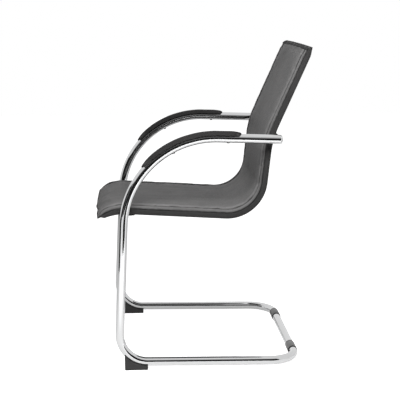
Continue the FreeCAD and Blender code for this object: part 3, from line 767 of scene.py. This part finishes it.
@dataclass(frozen=True)
class ArmPads:
    """The padded covers on the arms, each lying on its tube."""

    frame: TubeFrame
    half_width: float = 20.0
    crest: float = 19.3
    low_edge: float = 6.5
    side_round: float = 2.6
    front_angle: float = 139.0
    rear_y: float = 98.0
    front_taper: float = 62.0
    rear_taper: float = 34.0
    groove_gap: float = 0.25
    rows: int = 170
    nodes: int = 44

    def _line(self, side: Side) -> tuple[np.ndarray, np.ndarray, np.ndarray]:
        """Tube axis points under the pad, their upward directions and distances from the front."""
        route = self.frame.route(side)
        points, directions = route.sample(0.5)
        centre = self._bend_centre(side)
        angle = np.degrees(np.arctan2(points[:, 2] - centre[2], points[:, 1] - centre[1]))
        keep = (points[:, 2] > centre[2]) & (angle < self.front_angle)
        keep &= points[:, 1] < self.rear_y + CENTRING
        points, directions = points[keep][::-1], -directions[keep][::-1]
        steps = np.linalg.norm(np.diff(points, axis=0), axis=1)
        s = np.concatenate([[0.0], np.cumsum(steps)])
        even = self._spacing(s[-1])
        place = np.stack([np.interp(even, s, points[:, k]) for k in range(3)], axis=-1)
        along = unit(np.stack([np.interp(even, s, directions[:, k]) for k in range(3)], axis=-1))
        up = np.stack([np.zeros(len(even)), -along[:, 2], along[:, 1]], axis=-1)
        return place, up, even

    def _bend_centre(self, side: Side) -> np.ndarray:
        """The centre of the arm's front bend."""
        corners = np.array(self.frame.route(side).corners)
        back = unit(corners[0] - corners[1])
        ahead = unit(corners[2] - corners[1])
        half = math.acos(float(back @ ahead)) / 2.0
        return corners[1] + unit(back + ahead) * self.frame.arm_bend_r / math.sin(half)

    def _spacing(self, length: float) -> np.ndarray:
        """Distances along the pad, closer together at its ends: L(1 - cos t)/2."""
        t = np.linspace(0.0, math.pi, self.rows)
        return length * (1.0 - np.cos(t)) / 2.0

    def build_side(self, side: Side, finishes: Finishes) -> None:
        """The pad as rings round its section.

        Across each section, x = w cos t. The lower line is the higher of the low edge and the
        tube's circle, and lifts by a power of x/w at its corners. The upper line is a
        superellipse from the corners to the crest. Width and height shrink at both ends by
        the taper (1 - (1 - e)^p)^(1/p), with e the distance from the end over its length.
        """
        place, up, s = self._line(side)
        front = np.clip(s / self.front_taper, 0.0, 1.0)[:, None]
        rear = np.clip((s[-1] - s) / self.rear_taper, 0.0, 1.0)[:, None]
        narrow = self._taper(front, 1.7) * self._taper(rear, 2.0)
        flat = self._taper(front, 1.9) * self._taper(rear, 2.1)
        w = 2.0 + (self.half_width - 2.0) * narrow
        t = np.linspace(0.0, math.pi, self.nodes)[None, :]
        x_up = w * np.cos(t)
        share = np.abs(np.cos(t))
        tube = self.frame.tube_r + self.groove_gap
        edge = self._floor(w, tube) + self.side_round * (0.3 + 0.7 * flat)
        crest = self._floor(0.0 * w, tube) + 0.9
        crest = crest + (self.crest - crest) * flat
        wave = 0.22 * ripple(x_up, s[:, None], 11, 26.0, 38.0) * flat
        h_up = edge + (crest - edge) * (1.0 - share ** 2.3) ** (1.0 / 2.0) + wave * np.sin(t)
        back = t[:, 1:-1] + math.pi
        x_low = w * np.cos(back)
        low = self._floor(x_low, tube)
        h_low = low + (edge - low) * np.abs(np.cos(back)) ** 9.0
        x = np.concatenate([x_up, x_low], axis=1)
        h = np.concatenate([h_up, h_low], axis=1)
        rings = place[:, None] + up[:, None] * h[..., None]
        rings[..., 0] += x
        pad = MeshMaker.skin(side.label + "_arm_cushion", rings)
        fit_out(pad, finishes.pad,
                (side.label + "_arm_pad_cover", side.label + "_arm_pad_foam"))
        dress_node(side.label + "_arm_pad_base", finishes.saddle)

    @staticmethod
    def _taper(e: np.ndarray, power: float) -> np.ndarray:
        """(1 - (1 - e)^p)^(1/p): 0 at a rounded end, 1 from where e reaches 1."""
        return (1.0 - (1.0 - e) ** power) ** (1.0 / power)

    def _floor(self, x: np.ndarray, tube: float) -> np.ndarray:
        """The higher of the pad's low edge and the tube's surface under a distance across."""
        return np.maximum(self.low_edge, np.sqrt(np.clip(tube ** 2 - x ** 2, 0.0, None)))


@dataclass(frozen=True)
class Shell:
    """The upholstered seat and back: padded face, side bands, rear cover, hems and stitching."""

    half_width: float = 221.0
    stitch_x: float = 191.0
    seat_tip: tuple[float, float] = (-302.0, 428.5)
    seat_crest: tuple[float, float] = (-236.5, 441.1)
    seat_corner: tuple[float, float] = (168.0, 416.0)
    back_kink: tuple[float, float] = (193.7, 649.3)
    back_top: tuple[float, float] = (296.7, 881.3)
    back_tip: tuple[float, float] = (301.0, 905.0)
    radii: tuple[float, ...] = (120.0, 114.0, 267.0, 60.0)
    seat_height: float = 21.8
    back_height: float = 19.3
    crown: float = 2.4
    seam_height: float = 15.5
    seam_depth: float = 3.0
    stitch_depth: float = 2.6
    stitch_spread: float = 3.4
    pillow: float = 2.1
    pillow_reach: float = 19.0
    roll_reach_share: float = 0.2
    sink_share: float = 0.6
    gather: float = 1.0
    hem_bulge: tuple[float, float, float] = (1.5, 45.0, 32.0)
    hem_dent: tuple[float, float, float] = (2.3, 104.0, 26.0)
    slack: float = 0.03
    pressure: float = 2.0
    frames: int = 20
    cap: float = 1.3
    calm_length: float = 60.0
    roll_calm: float = 0.35
    front_hem: float = 4.0
    front_nose: float = 52.0
    front_bow: float = 4.6
    top_edge: float = 3.4
    top_shoulder: float = 13.0
    top_bevel: float = 8.0
    top_nose: float = 30.0
    board_top: float = 13.3
    rear_layer: float = 3.9
    cover_thickness: float = 1.2

    def line(self) -> tuple[np.ndarray, np.ndarray, np.ndarray]:
        """The rear surface's line: distances from the seat's tip, points and directions."""
        flat = (self.seat_tip, self.seat_crest, self.seat_corner, self.back_kink, self.back_top,
                self.back_tip)
        corners = tuple((0.0, y + CENTRING, z) for y, z in flat)
        points, directions = Route(corners, self.radii).sample(0.5)
        steps = np.linalg.norm(np.diff(points, axis=0), axis=1)
        return np.concatenate([[0.0], np.cumsum(steps)]), points, directions

    def place(self, x: np.ndarray, s: np.ndarray, h: np.ndarray,
              ahead: np.ndarray | float = 0.0) -> np.ndarray:
        """Points of the shell: line(s) + up(s) * h - along(s) * ahead, at x across.

        Args:
            x: Distances across.
            s: Distances along the line from the seat's tip.
            h: Heights over the rear surface, towards the sitter.
            ahead: How far the points are pushed towards the seat's tip.

        Returns:
            The points as a grid of rows of three.
        """
        known, points, directions = self.line()
        x, s, h, ahead = np.broadcast_arrays(x, s, h, ahead)
        y = np.interp(s, known, points[:, 1])
        z = np.interp(s, known, points[:, 2])
        turn = np.interp(s, known, np.arctan2(directions[:, 2], directions[:, 1]))
        along_y, along_z = np.cos(turn), np.sin(turn)
        return np.stack([x, y - along_z * h - along_y * ahead, z + along_y * h - along_z * ahead],
                        axis=-1)

    def length(self) -> float:
        """The length of the rear surface's line."""
        return float(self.line()[0][-1])

    def stations(self) -> np.ndarray:
        """Distances along the shell, closer together at both ends."""
        total = self.length()
        return np.unique(np.round(np.concatenate([
            np.linspace(0.0, 60.0, 34), np.linspace(60.0, total - 40.0, 233),
            np.linspace(total - 40.0, total, 26)]), 4))

    @staticmethod
    def _rise(distance: np.ndarray, length: float, power: float) -> np.ndarray:
        """From 0 at an end to 1: 1 - (1 - q)^p, with q the distance over the length."""
        q = np.clip(distance / length, 0.0, 1.0)
        return 1.0 - (1.0 - q) ** power

    def face(self, s: np.ndarray) -> np.ndarray:
        """The face's height at the stitch lines: seat to back, and down to the edge at each end.

        The front falls to its hem by the rise 1 - (1 - q)^3. The top falls to a shoulder and then
        over a bevel to its edge.
        """
        down = self.length() - s
        share = smooth_step((s - 400.0) / 160.0)
        full = self.seat_height + (self.back_height - self.seat_height) * share
        front = self._rise(s - 3.0, self.front_nose, 3.0)
        shoulder = self._rise(down - self.top_bevel, self.top_nose, 2.2)
        bevel = self._rise(down, self.top_bevel, 1.6)
        top = self.top_edge + (self.top_shoulder - self.top_edge) * bevel
        top = top + (full - self.top_shoulder) * shoulder
        return np.where(down > 400.0, self.front_hem + (full - self.front_hem) * front, top)

    def seam(self, s: np.ndarray) -> np.ndarray:
        """The height of the seam between the side roll and the side band."""
        down = self.length() - s
        low = 0.55 * self.front_hem
        front = low + (self.seam_height - low) * self._rise(s, 70.0, 2.2)
        top = 12.0 + (self.seam_height - 12.0) * self._rise(down, 40.0, 1.6)
        return np.minimum(np.where(down > 400.0, front, top), self.face(s) - 0.9)

    def sewn(self, s: np.ndarray) -> np.ndarray:
        """How hard the stitch line pulls: nothing at both ends of the shell, 1 along it."""
        return smooth_step((s - 14.0) / 45.0) * smooth_step((self.length() - s - 55.0) / 55.0)

    def sink(self, pull: np.ndarray) -> np.ndarray:
        """How far the padding beside a stitch line sinks, by how hard the line pulls."""
        return self.sink_share * self.pillow * (0.3 + 0.7 * pull)

    def stitch_floor(self, s: np.ndarray) -> np.ndarray:
        """The height of the sunk stitch line."""
        pull = self.sewn(s)
        return self.face(s) - self.stitch_depth * pull - self.sink(pull)

    def bow(self, x: np.ndarray, s: np.ndarray) -> np.ndarray:
        """How far the front edge stands ahead of a straight line between its corners.

        It is b(1 - (x/w)^2) with one soft bulge and one dent where the hem was pulled, fading
        inwards; the top edge dips a little in its middle.
        """
        middle = 1.0 - (x / self.half_width) ** 2
        bulge, dent = (height * np.exp(-((x - centre) / reach) ** 2)
                       for height, centre, reach in (self.hem_bulge, self.hem_dent))
        uneven = bulge - dent
        fade = 1.0 - smooth_step(s / 70.0)
        top_fade = 1.0 - smooth_step((self.length() - s) / 40.0)
        return (self.front_bow * middle + uneven) * fade - 1.5 * middle * top_fade

    def scallop(self, s: np.ndarray) -> np.ndarray:
        """How far the gathered lower edge hangs at the front corners, from the tip inwards."""
        return np.interp(s, (0.0, 5.0, 10.0, 15.0, 20.0, 28.0, 39.0, 60.0),
                         (0.0, -1.0, -1.9, 0.5, 2.3, 1.1, 0.1, 0.0))

    def _across(self) -> tuple[np.ndarray, np.ndarray]:
        """Distances across the face and the roll's share, 0 on the panel and 1 at the seam."""
        edge = 14.0
        middle = np.concatenate([np.linspace(0.0, self.stitch_x - edge, 24),
                                 np.linspace(self.stitch_x - edge, self.stitch_x, 17)[1:]])
        roll = np.concatenate([np.linspace(0.0, 0.22, 11)[1:], np.linspace(0.22, 1.0, 15)[1:]])
        width = self.half_width - self.seam_depth - self.stitch_x
        outer = self.stitch_x + width * np.sin(roll * math.pi / 2.0)
        half_x = np.concatenate([middle, outer])
        half_t = np.concatenate([np.zeros(len(middle)), roll])
        x = np.concatenate([-half_x[:0:-1], half_x])
        t = np.concatenate([half_t[:0:-1], half_t])
        return x, t

    def gathers(self, x: np.ndarray, s: np.ndarray) -> np.ndarray:
        """Small folds that fan out of both front corners: a exp(-r / 34) sin(8 phi + 1.3 r / 20).

        r is the distance from the corner and phi the direction from it.
        """
        in_x = self.half_width - np.abs(x)
        r = np.hypot(in_x, s)
        phi = np.arctan2(s + 1.0, in_x + 1.0)
        turn = np.where(x > 0.0, 0.4, 2.1)
        return self.gather * np.exp(-r / 34.0) * np.sin(8.0 * phi + 0.065 * r + turn)

    def face_grid(self) -> tuple[np.ndarray, np.ndarray, np.ndarray]:
        """The padded face as distances across, distances along and heights.

        On the panel h = face + crown (1 - (x/a)^2.4). On the roll h = seam + (face - seam) cos(t
        pi/2). The padding swells away from each stitch line by p (1 - exp(-(|x - a| / r)^1.5)),
        with a shorter r on the roll. The line itself sinks by d exp(-(|x - a| / w)^1.6), and the
        leather beside it gathers in small puckers.
        """
        x, t = self._across()
        s = self.stations()[:, None]
        x, t = x[None, :], t[None, :]
        face, seam = self.face(s), self.seam(s)
        total = self.length()
        ends = smooth_step(s / 45.0) * smooth_step((total - s) / 34.0)
        pull = self.sewn(s)
        inside = np.clip(np.abs(x) / self.stitch_x, 0.0, 1.0)
        panel = face + self.crown * ends * (1.0 - inside ** 2.4)
        roll = seam + (face - seam) * np.cos(t * math.pi / 2.0)
        h = np.where(t > 0.0, roll, panel)
        off = np.abs(np.abs(x) - self.stitch_x)
        reach = np.where(t > 0.0, self.roll_reach_share * self.pillow_reach, self.pillow_reach)
        swell = (1.0 - np.exp(-(off / reach) ** 1.5)) * (1.0 - t ** 2)
        h = h + self.pillow * ends * swell
        dip = np.exp(-(off / self.stitch_spread) ** 1.6)
        h = h - (self.stitch_depth * pull * dip
                 + self.sink(pull) * np.minimum(1.0, dip + 0.4)) * smooth_step(s / 20.0)
        pucker = ripple(np.sign(x) * 40.0, s, 5, 1e6, 15.0, 12) * np.exp(-(off / 10.0) ** 2)
        h = h + 0.32 * pucker * pull * (1.0 - dip)
        folds = ripple(x, s, 21, 34.0, 260.0, 10) * (1.0 - t) * ends
        broad = ripple(x, s, 3, 150.0, 170.0, 7) * (1.0 - t) * ends
        h = h + self.gathers(x, s) * smooth_step(s / 10.0) * (1.0 - 0.8 * dip)
        return x, s, h + 0.14 * folds + 0.28 * broad

    def settle(self, top: np.ndarray, bottom: np.ndarray) -> np.ndarray:
        """Lets a slack cover swell over its padding as cloth, held at its stitches and edges.

        Every second row and column is simulated as one closed body with inner pressure. The
        cloth runs far past the cap, so each move is cut to it and gives little more than the
        swelling's direction. The moves are spread over the full grid by bilinear interpolation.

        Args:
            top: The full grid of the face.
            bottom: The grid of its underside, which stays still.

        Returns:
            The moved face.
        """
        x = self._across()[0]
        coarse, under = top[::2, ::2], bottom[::2, ::2]
        rows, columns = coarse.shape[:2]
        dummy = MeshMaker.slab("cover_study", coarse, under, merge=False)
        held = np.ones((2, rows, columns))
        held[0, 1:-1, 1:-1] = 0.0
        held[0][:, np.isclose(np.abs(x[::2]), self.stitch_x)] = 1.0
        group = dummy.vertex_groups.new(name="held")
        group.add(np.flatnonzero(held.ravel() > 0.5).tolist(), 1.0, "REPLACE")
        cloth = dummy.modifiers.new("cover", "CLOTH")
        settings = cloth.settings
        settings.vertex_group_mass = group.name
        settings.quality = 6
        settings.mass = 0.25
        settings.tension_stiffness = settings.compression_stiffness = 12.0
        settings.shear_stiffness = 6.0
        settings.bending_stiffness = 0.08
        settings.shrink_min = -self.slack
        settings.use_pressure = True
        settings.uniform_pressure_force = self.pressure
        settings.effector_weights.gravity = 0.0
        cloth.collision_settings.use_collision = False
        scene = bpy.context.scene
        for number in range(1, self.frames + 1):
            scene.frame_set(number)
        posed = dummy.evaluated_get(bpy.context.evaluated_depsgraph_get())
        flat = np.empty(len(posed.data.vertices) * 3, dtype=np.float32)
        posed.data.vertices.foreach_get("co", flat)
        moved = flat.reshape(2, rows, columns, 3)[0] / MM - coarse
        scene.frame_set(1)
        bpy.data.objects.remove(dummy)
        size = np.linalg.norm(moved, axis=-1, keepdims=True)
        LOG.info("cover moved up to %.1f mm, %.2f mm on average", size.max(), size.mean())
        moved = moved * np.minimum(1.0, self.cap / (size + 1e-9))
        s = np.linspace(0.0, self.length(), rows)[:, None]
        ends = (smooth_step(away / self.calm_length) for away in (s, self.length() - s))
        calm = math.prod(ends) * np.where(np.abs(x[::2]) < self.stitch_x, 1.0, self.roll_calm)
        return top + self._spread(moved * calm[:, :, None], top.shape)

    @staticmethod
    def _spread(moves: np.ndarray, shape: tuple[int, ...]) -> np.ndarray:
        """Moves of every second row and column, averaged on to the rows and columns between."""
        tall = np.zeros((shape[0],) + moves.shape[1:])
        tall[::2] = moves
        tall[1::2] = (moves[:-1] + moves[1:]) / 2.0
        full = np.zeros(shape)
        full[:, ::2] = tall
        full[:, 1::2] = (tall[:, :-1] + tall[:, 1:]) / 2.0
        return full

    def build_face(self, finishes: Finishes) -> None:
        """The padded front: one crowned closed body over the plywood board."""
        x, s, h = self.face_grid()
        bow = self.bow(x, s)
        top = self.place(x, s, h, bow)
        floor = np.minimum(self.board_top, self.seam(s) - 0.6)
        floor = np.minimum(floor, h - 1.2)
        low_x = np.sign(x) * np.minimum(np.abs(x), self.half_width - 3.0)
        bottom = self.place(low_x, s, floor, bow)
        top = self.settle(top, bottom)
        pad = MeshMaker.slab("seat_and_back_cushion", top, bottom)
        fit_out(pad, finishes.cover,
                ("centre_cover_panel", "left_cover_panel", "right_cover_panel", "seat_foam",
                 "back_foam"))
        dress_node("plywood_shell", finishes.wood)
        LOG.info("shell line %.1f mm long", self.length())

    def build_band(self, side: Side, finishes: Finishes) -> None:
        """The narrow side band: a thin strip from the seam round to the underside.

        Its outer line falls from the bottom of the seam's groove over a lip to the bowed side,
        and turns under by a quarter round; the inner line is the outer moved square to itself.
        Near the front corner its lower edge is gathered into scallops that fade inwards.
        """
        s = self.stations()[:, None]
        seam = self.seam(s)
        edge = self.half_width
        bowed = edge - 0.4
        lip = np.minimum(2.4, 0.3 * seam)
        turn = np.linspace(0.0, math.pi / 2.0, 8)[None, :]
        r = np.minimum(3.0, 0.4 * seam)
        q = np.linspace(0.0, 1.0, 6)[None, :]
        x_lip = edge - self.seam_depth - 0.2 + (self.seam_depth - 0.2) * np.sin(
            q * math.pi / 2.0) + 0.0 * seam
        h_lip = seam - 0.4 - lip * (1.0 - np.cos(q * math.pi / 2.0))
        t = np.linspace(0.0, 1.0, 12)[None, :]
        start = seam - 0.4 - lip
        x_side = bowed + 0.4 * np.sin(t * math.pi) + 0.0 * seam
        h_side = start + t * (r - start)
        x_round = bowed - r + r * np.cos(turn)
        h_round = r - r * np.sin(turn)
        x_under = np.broadcast_to(edge - 8.0, seam.shape)
        x = np.concatenate([x_lip[:, :-1], x_side, x_round[:, 1:], x_under], axis=1)
        h = np.concatenate([h_lip[:, :-1], h_side, h_round[:, 1:], 0.0 * seam], axis=1)
        dx, dh = np.gradient(x, axis=1), np.gradient(h, axis=1)
        size = np.hypot(dx, dh) + 1e-9
        x_in = x + self.cover_thickness * dh / size
        h_in = h - self.cover_thickness * dx / size
        wave = 0.14 * ripple(h * 3.0, s, 31 + side.value, 60.0, 42.0)
        scallop = self.scallop(s) * smooth_step((12.0 - h) / 12.0)
        bow = self.bow(x, s)
        outer = self.place((x + wave * (h > 1.0)) * side.value, s, h - scallop, bow)
        inner = self.place(x_in * side.value, s, h_in - scallop, bow)
        band = MeshMaker.slab(side.label + "_band", outer, inner)
        fit_out(band, finishes.band, (side.label + "_side_band",))

    def build_rear(self, finishes: Finishes) -> None:
        """The rear and underside cover over its thin padding."""
        s = self.stations()[:, None]
        half = self.half_width - 7.6
        x = np.linspace(-half, half, 72)[None, :]
        edge = np.clip((half - np.abs(x)) / 5.0, 0.0, 1.0)
        low = 0.5 * (1.0 - smooth_step(edge)) + 0.12 * (1.0 + ripple(x, s, 8, 70.0, 90.0)) * edge
        high = np.minimum(self.rear_layer, self.seam(s) - 1.4) + 0.0 * x
        bow = self.bow(x, s)
        hang = self.scallop(s) * smooth_step((np.abs(x) - 175.0) / 35.0)
        rear = MeshMaker.slab("rear_cover", self.place(x, s, high, bow),
                              self.place(x, s, np.clip(low, 0.0, 0.8) - hang, bow))
        fit_out(rear, finishes.cover, ("rear_cover_panel", "rear_padding"))

    def build_front_hem(self, finishes: Finishes) -> None:
        """A folded binding along the front edge: a rounded bar, slightly uneven along its length.

        Its section is the superellipse s = a sgn(cos)|cos|^0.75, h = b sgn(sin)|sin|^0.75.
        """
        x = np.linspace(-1.0, 1.0, 121)
        reach = self.half_width - 0.8
        across = (reach * (0.35 * np.sin(x * math.pi / 2.0) + 0.65 * x))[:, None]
        t = np.linspace(0.0, 2.0 * math.pi, 28, endpoint=False)[None, :]
        cos, sin = np.cos(t), np.sin(t)
        fade = np.sqrt(np.clip(1.0 - np.abs(x[:, None]) ** 60, 0.02, 1.0))
        uneven = 1.0 + 0.07 * ripple(across, 0.0 * across, 17, 22.0, 1e6)
        ds = 3.0 * np.sign(cos) * np.abs(cos) ** 0.75 * fade
        dh = 2.4 * np.sign(sin) * np.abs(sin) ** 0.75 * fade * uneven
        drift = 0.35 * ripple(across, 0.0 * across, 23, 48.0, 1e6)
        s = np.clip(2.4 + ds, 0.0, self.length())
        bow = self.bow(across, s) + s - (2.4 + ds)
        hem = MeshMaker.skin("front_binding", self.place(across, s, 2.1 + dh + drift, bow))
        fit_out(hem, finishes.hem, ("front_hem",))

    def build_top_hem(self, finishes: Finishes) -> None:
        """The strip that closes the top: over the bevel, round the edge and on to the rear.

        Its section is a smoothed line through points (distance down from the top, height), with
        an inner line 1.1 mm inside it, and small gathers run across it.
        """
        knots = np.array([(11.0, 14.6), (9.2, 14.9), (7.6, 13.9), (5.4, 11.8), (3.0, 8.9),
                          (1.0, 5.8), (0.0, 3.3), (-0.2, 1.6), (0.6, 0.2), (3.0, -0.4),
                          (7.0, -0.5)])
        run = np.concatenate([[0.0], np.cumsum(np.linalg.norm(np.diff(knots, axis=0), axis=1))])
        even = np.linspace(0.0, run[-1], 30)
        down, h = (np.interp(even, run, knots[:, k]) for k in range(2))
        blur = np.array([0.25, 0.5, 0.25])
        for _ in range(2):
            down[1:-1] = np.convolve(down, blur, "valid")
            h[1:-1] = np.convolve(h, blur, "valid")
        d_down, d_h = np.gradient(down), np.gradient(h)
        size = np.hypot(d_down, d_h)
        out_down, out_h = d_h / size, -d_down / size
        reach = self.half_width - 4.0
        x = (reach * np.linspace(-1.0, 1.0, 181))[:, None]
        pinch = np.sin(np.linspace(0.0, math.pi, 30)) ** 0.5
        fold = ripple(x, 0.0 * x, 41, 13.0, 1e6, 12) * pinch[None, :] * 0.42
        total = self.length()

        def at(move: np.ndarray) -> np.ndarray:
            """The strip's line moved outwards, carried across the shell."""
            inward = down[None, :] + out_down[None, :] * move
            s = np.clip(total - inward, 0.0, total)
            past = np.minimum(inward, 0.0)
            return self.place(x, s, h[None, :] + out_h[None, :] * move, self.bow(x, s) + past)

        hem = MeshMaker.slab("top_binding", at(fold), at(fold - 1.1))
        fit_out(hem, finishes.hem, ("top_hem",))

    def build_stitching(self, side: Side, finishes: Finishes) -> None:
        """The thread in one stitch line: short rounded stitches, each a small six-sided bar."""
        pitch, stitch, radius = 4.4, 3.3, 0.42
        total = self.length()
        starts = np.arange(40.0, total - 85.0, pitch)
        t = np.linspace(0.0, 1.0, 5)
        around = np.linspace(0.0, 2.0 * math.pi, 6, endpoint=False)
        s = starts[:, None, None] + stitch * t[None, :, None]
        swell = radius * np.sqrt(np.clip(1.0 - (2.0 * t - 1.0) ** 4, 0.05, 1.0))[None, :, None]
        face = self.stitch_floor(s) + 0.15
        sunk = 0.25 * (2.0 * t[None, :, None] - 1.0) ** 2
        x = self.stitch_x + swell * np.cos(around)
        h = face - sunk + swell * np.sin(around)
        rings = self.place(x * side.value, s + 0.0 * x, h)
        count, rows, columns = rings.shape[:3]
        base = MeshMaker.quads(rows, columns, True)
        offset = (np.arange(count) * rows * columns)[:, None, None]
        faces = (base[None] + offset).reshape(-1, 4)
        end = np.stack([np.arange(columns)[::-1], (rows - 1) * columns + np.arange(columns)])
        ends = (end[None] + offset).reshape(-1, columns)
        thread = MeshMaker.build(side.label + "_stitch_line", rings.reshape(-1, 3), [faces, ends])
        fit_out(thread, finishes.thread)

    def build(self, finishes: Finishes) -> None:
        """Builds every piece of the shell."""
        self.build_face(finishes)
        self.build_rear(finishes)
        for side in Side:
            self.build_band(side, finishes)
            self.build_stitching(side, finishes)
        self.build_front_hem(finishes)
        self.build_top_hem(finishes)


@dataclass(frozen=True)
class Studio:
    """The pale floor, the soft light and the camera."""

    camera_x: float = 3096.6
    camera_y: float = -234.4
    camera_z: float = 1050.7
    yaw: float = 0.0773
    pitch: float = 0.1958
    lens: float = 93.6
    floor_half: float = 6.0
    fill: float = 0.20

    def build_camera(self) -> None:
        """The photograph's camera, looking at the sitter's left side."""
        data = bpy.data.cameras.new("camera")
        data.lens = self.lens
        data.sensor_width = 36.0
        camera = bpy.data.objects.new("camera", data)
        forward = Vector((-math.cos(self.yaw) * math.cos(self.pitch),
                          math.sin(self.yaw) * math.cos(self.pitch), -math.sin(self.pitch)))
        camera.rotation_mode = "QUATERNION"
        camera.rotation_quaternion = forward.to_track_quat("-Z", "Y")
        camera.location = Vector((self.camera_x, self.camera_y, self.camera_z)) * MM
        bpy.context.scene.collection.objects.link(camera)
        bpy.context.scene.camera = camera

    def build_floor(self) -> None:
        """A pale sheet: white to the camera, brighter to mirrors where the key light falls.

        Its glow grows from the chair outwards, so that it meets the white surround without a
        line, and it is see-through from below.
        """
        material = bpy.data.materials.new("pale_floor")
        material.use_nodes = True
        tree = material.node_tree
        tree.nodes.clear()
        n = Nodes(tree)
        path = n.add("LightPath")
        spot = n.add("TexCoord").outputs["Object"]
        away = n.add("VectorMath", {"operation": "LENGTH"}, in_0=spot).outputs["Value"]
        far = n.smooth(away, 0.7, 2.2, 0.93, 1.0)
        x = n.add("SeparateXYZ", Vector=spot).outputs[0]
        pool = n.smooth(x, 0.55, 1.2, 0.30, 1.0)
        shiny = n.math("MAXIMUM", path.outputs["Is Glossy Ray"],
                       path.outputs["Is Transmission Ray"])
        to_camera = n.math("MULTIPLY", path.outputs["Is Camera Ray"], far)
        to_mirror = n.math("MULTIPLY", shiny, pool)
        glow = n.add("Emission", Color=grey(1.0), Strength=n.math("ADD", to_camera, to_mirror))
        diffuse = n.add("BsdfDiffuse", Color=grey(0.62))
        both = n.add("AddShader", in_0=diffuse.outputs[0], in_1=glow.outputs[0])
        below = n.add("NewGeometry").outputs["Backfacing"]
        clear = n.add("BsdfTransparent")
        mix = n.add("MixShader", in_0=below, in_1=both.outputs[0], in_2=clear.outputs[0])
        output = n.add("OutputMaterial")
        tree.links.new(mix.outputs[0], output.inputs["Surface"])
        h = self.floor_half
        self._sheet("floor", ((-h, -h, 0.0), (h, -h, 0.0), (h, h, 0.0), (-h, h, 0.0)), material)

    @staticmethod
    def _sheet(name: str, corners: tuple, material: bpy.types.Material) -> bpy.types.Object:
        """One flat four-cornered piece of the studio."""
        mesh = bpy.data.meshes.new(name)
        mesh.from_pydata(corners, [], [(0, 1, 2, 3)])
        mesh.materials.append(material)
        sheet = bpy.data.objects.new(name, mesh)
        bpy.context.scene.collection.objects.link(sheet)
        return sheet

    def build_world(self) -> None:
        """A white surround for rays that see it, and a plainer one for soft light."""
        world = bpy.data.worlds.new("surround")
        bpy.context.scene.world = world
        world.use_nodes = True
        tree = world.node_tree
        tree.nodes.clear()
        n = Nodes(tree)
        path = n.add("LightPath")
        shiny = n.math("MAXIMUM", path.outputs["Is Glossy Ray"],
                       path.outputs["Is Transmission Ray"])
        seen = n.math("MAXIMUM", path.outputs["Is Camera Ray"], shiny)
        white = n.add("Background", Color=grey(1.0), Strength=1.0)
        soft = n.add("Background", Color=grey(1.0), Strength=self.fill)
        mix = n.add("MixShader", in_0=seen, in_1=soft.outputs[0], in_2=white.outputs[0])
        output = n.add("OutputWorld")
        tree.links.new(mix.outputs[0], output.inputs["Surface"])

    def build_cards(self) -> None:
        """Dark flags round the camera that only mirror rays see, as photographers set for chrome.

        The wall behind the camera is dark low down and grey above; the two flags are dark.
        """
        material = bpy.data.materials.new("dark_flag")
        material.use_nodes = True
        tree = material.node_tree
        tree.nodes.clear()
        n = Nodes(tree)
        height = n.add("SeparateXYZ", Vector=n.add("TexCoord").outputs["Object"]).outputs[2]
        rise = n.smooth(height, 1.0, 3.6, 0.02, 0.62)
        dark = n.add("Emission", Color=grey(1.0), Strength=rise)
        output = n.add("OutputMaterial")
        tree.links.new(dark.outputs[0], output.inputs["Surface"])
        flags = (
            ("wall_behind_camera", (3.4, -4.0), (3.4, 3.0), 4.4),
            ("rear_side_flag", (1.72, -0.37), (1.19, 0.88), 1.0),
            ("front_side_flag", (1.11, -1.29), (0.22, -1.62), 1.0),
        )
        for name, a, b, top in flags:
            corners = ((*a, 0.0), (*b, 0.0), (*b, top), (*a, top))
            card = self._sheet(name, corners, material)
            card.visible_camera = False
            card.visible_diffuse = False
            card.visible_shadow = False
            card.visible_transmission = False

    def build_lamps(self) -> None:
        """A near soft key from the sitter's left, and a broad weaker lamp overhead."""
        self._lamp("key", (1.3, -0.1, 1.35), (0.0, 0.0, 0.5), 0.6, 44.0)
        self._lamp("overhead", (0.5, -0.5, 2.9), (0.0, 0.0, 0.4), 2.0, 18.0)

    @staticmethod
    def _lamp(name: str, at: tuple, towards: tuple, size: float, power: float) -> None:
        """One square area lamp that mirrors don't show."""
        data = bpy.data.lights.new(name, "AREA")
        data.size = size
        data.energy = power
        lamp = bpy.data.objects.new(name, data)
        lamp.location = at
        lamp.rotation_mode = "QUATERNION"
        lamp.rotation_quaternion = (Vector(towards) - Vector(at)).to_track_quat("-Z", "Y")
        lamp.visible_glossy = False
        bpy.context.scene.collection.objects.link(lamp)

    def build(self) -> None:
        """Sets up the whole studio."""
        bpy.context.scene.view_settings.view_transform = "Standard"
        self.build_camera()
        self.build_floor()
        self.build_world()
        self.build_cards()
        self.build_lamps()


def main() -> None:
    """Builds the chair and its studio in order."""
    logging.basicConfig(level=logging.INFO, format="%(name)s %(message)s")
    finishes = Finishes()
    tubes = TubeFrame()
    for side in Side:
        tubes.build_side(side, finishes)
    tubes.build_connector(finishes)
    tubes.dress_nodes(finishes)
    pads = ArmPads(tubes)
    for side in Side:
        pads.build_side(side, finishes)
    Shell().build(finishes)
    Studio().build()


if __name__ == "__main__":
    main()
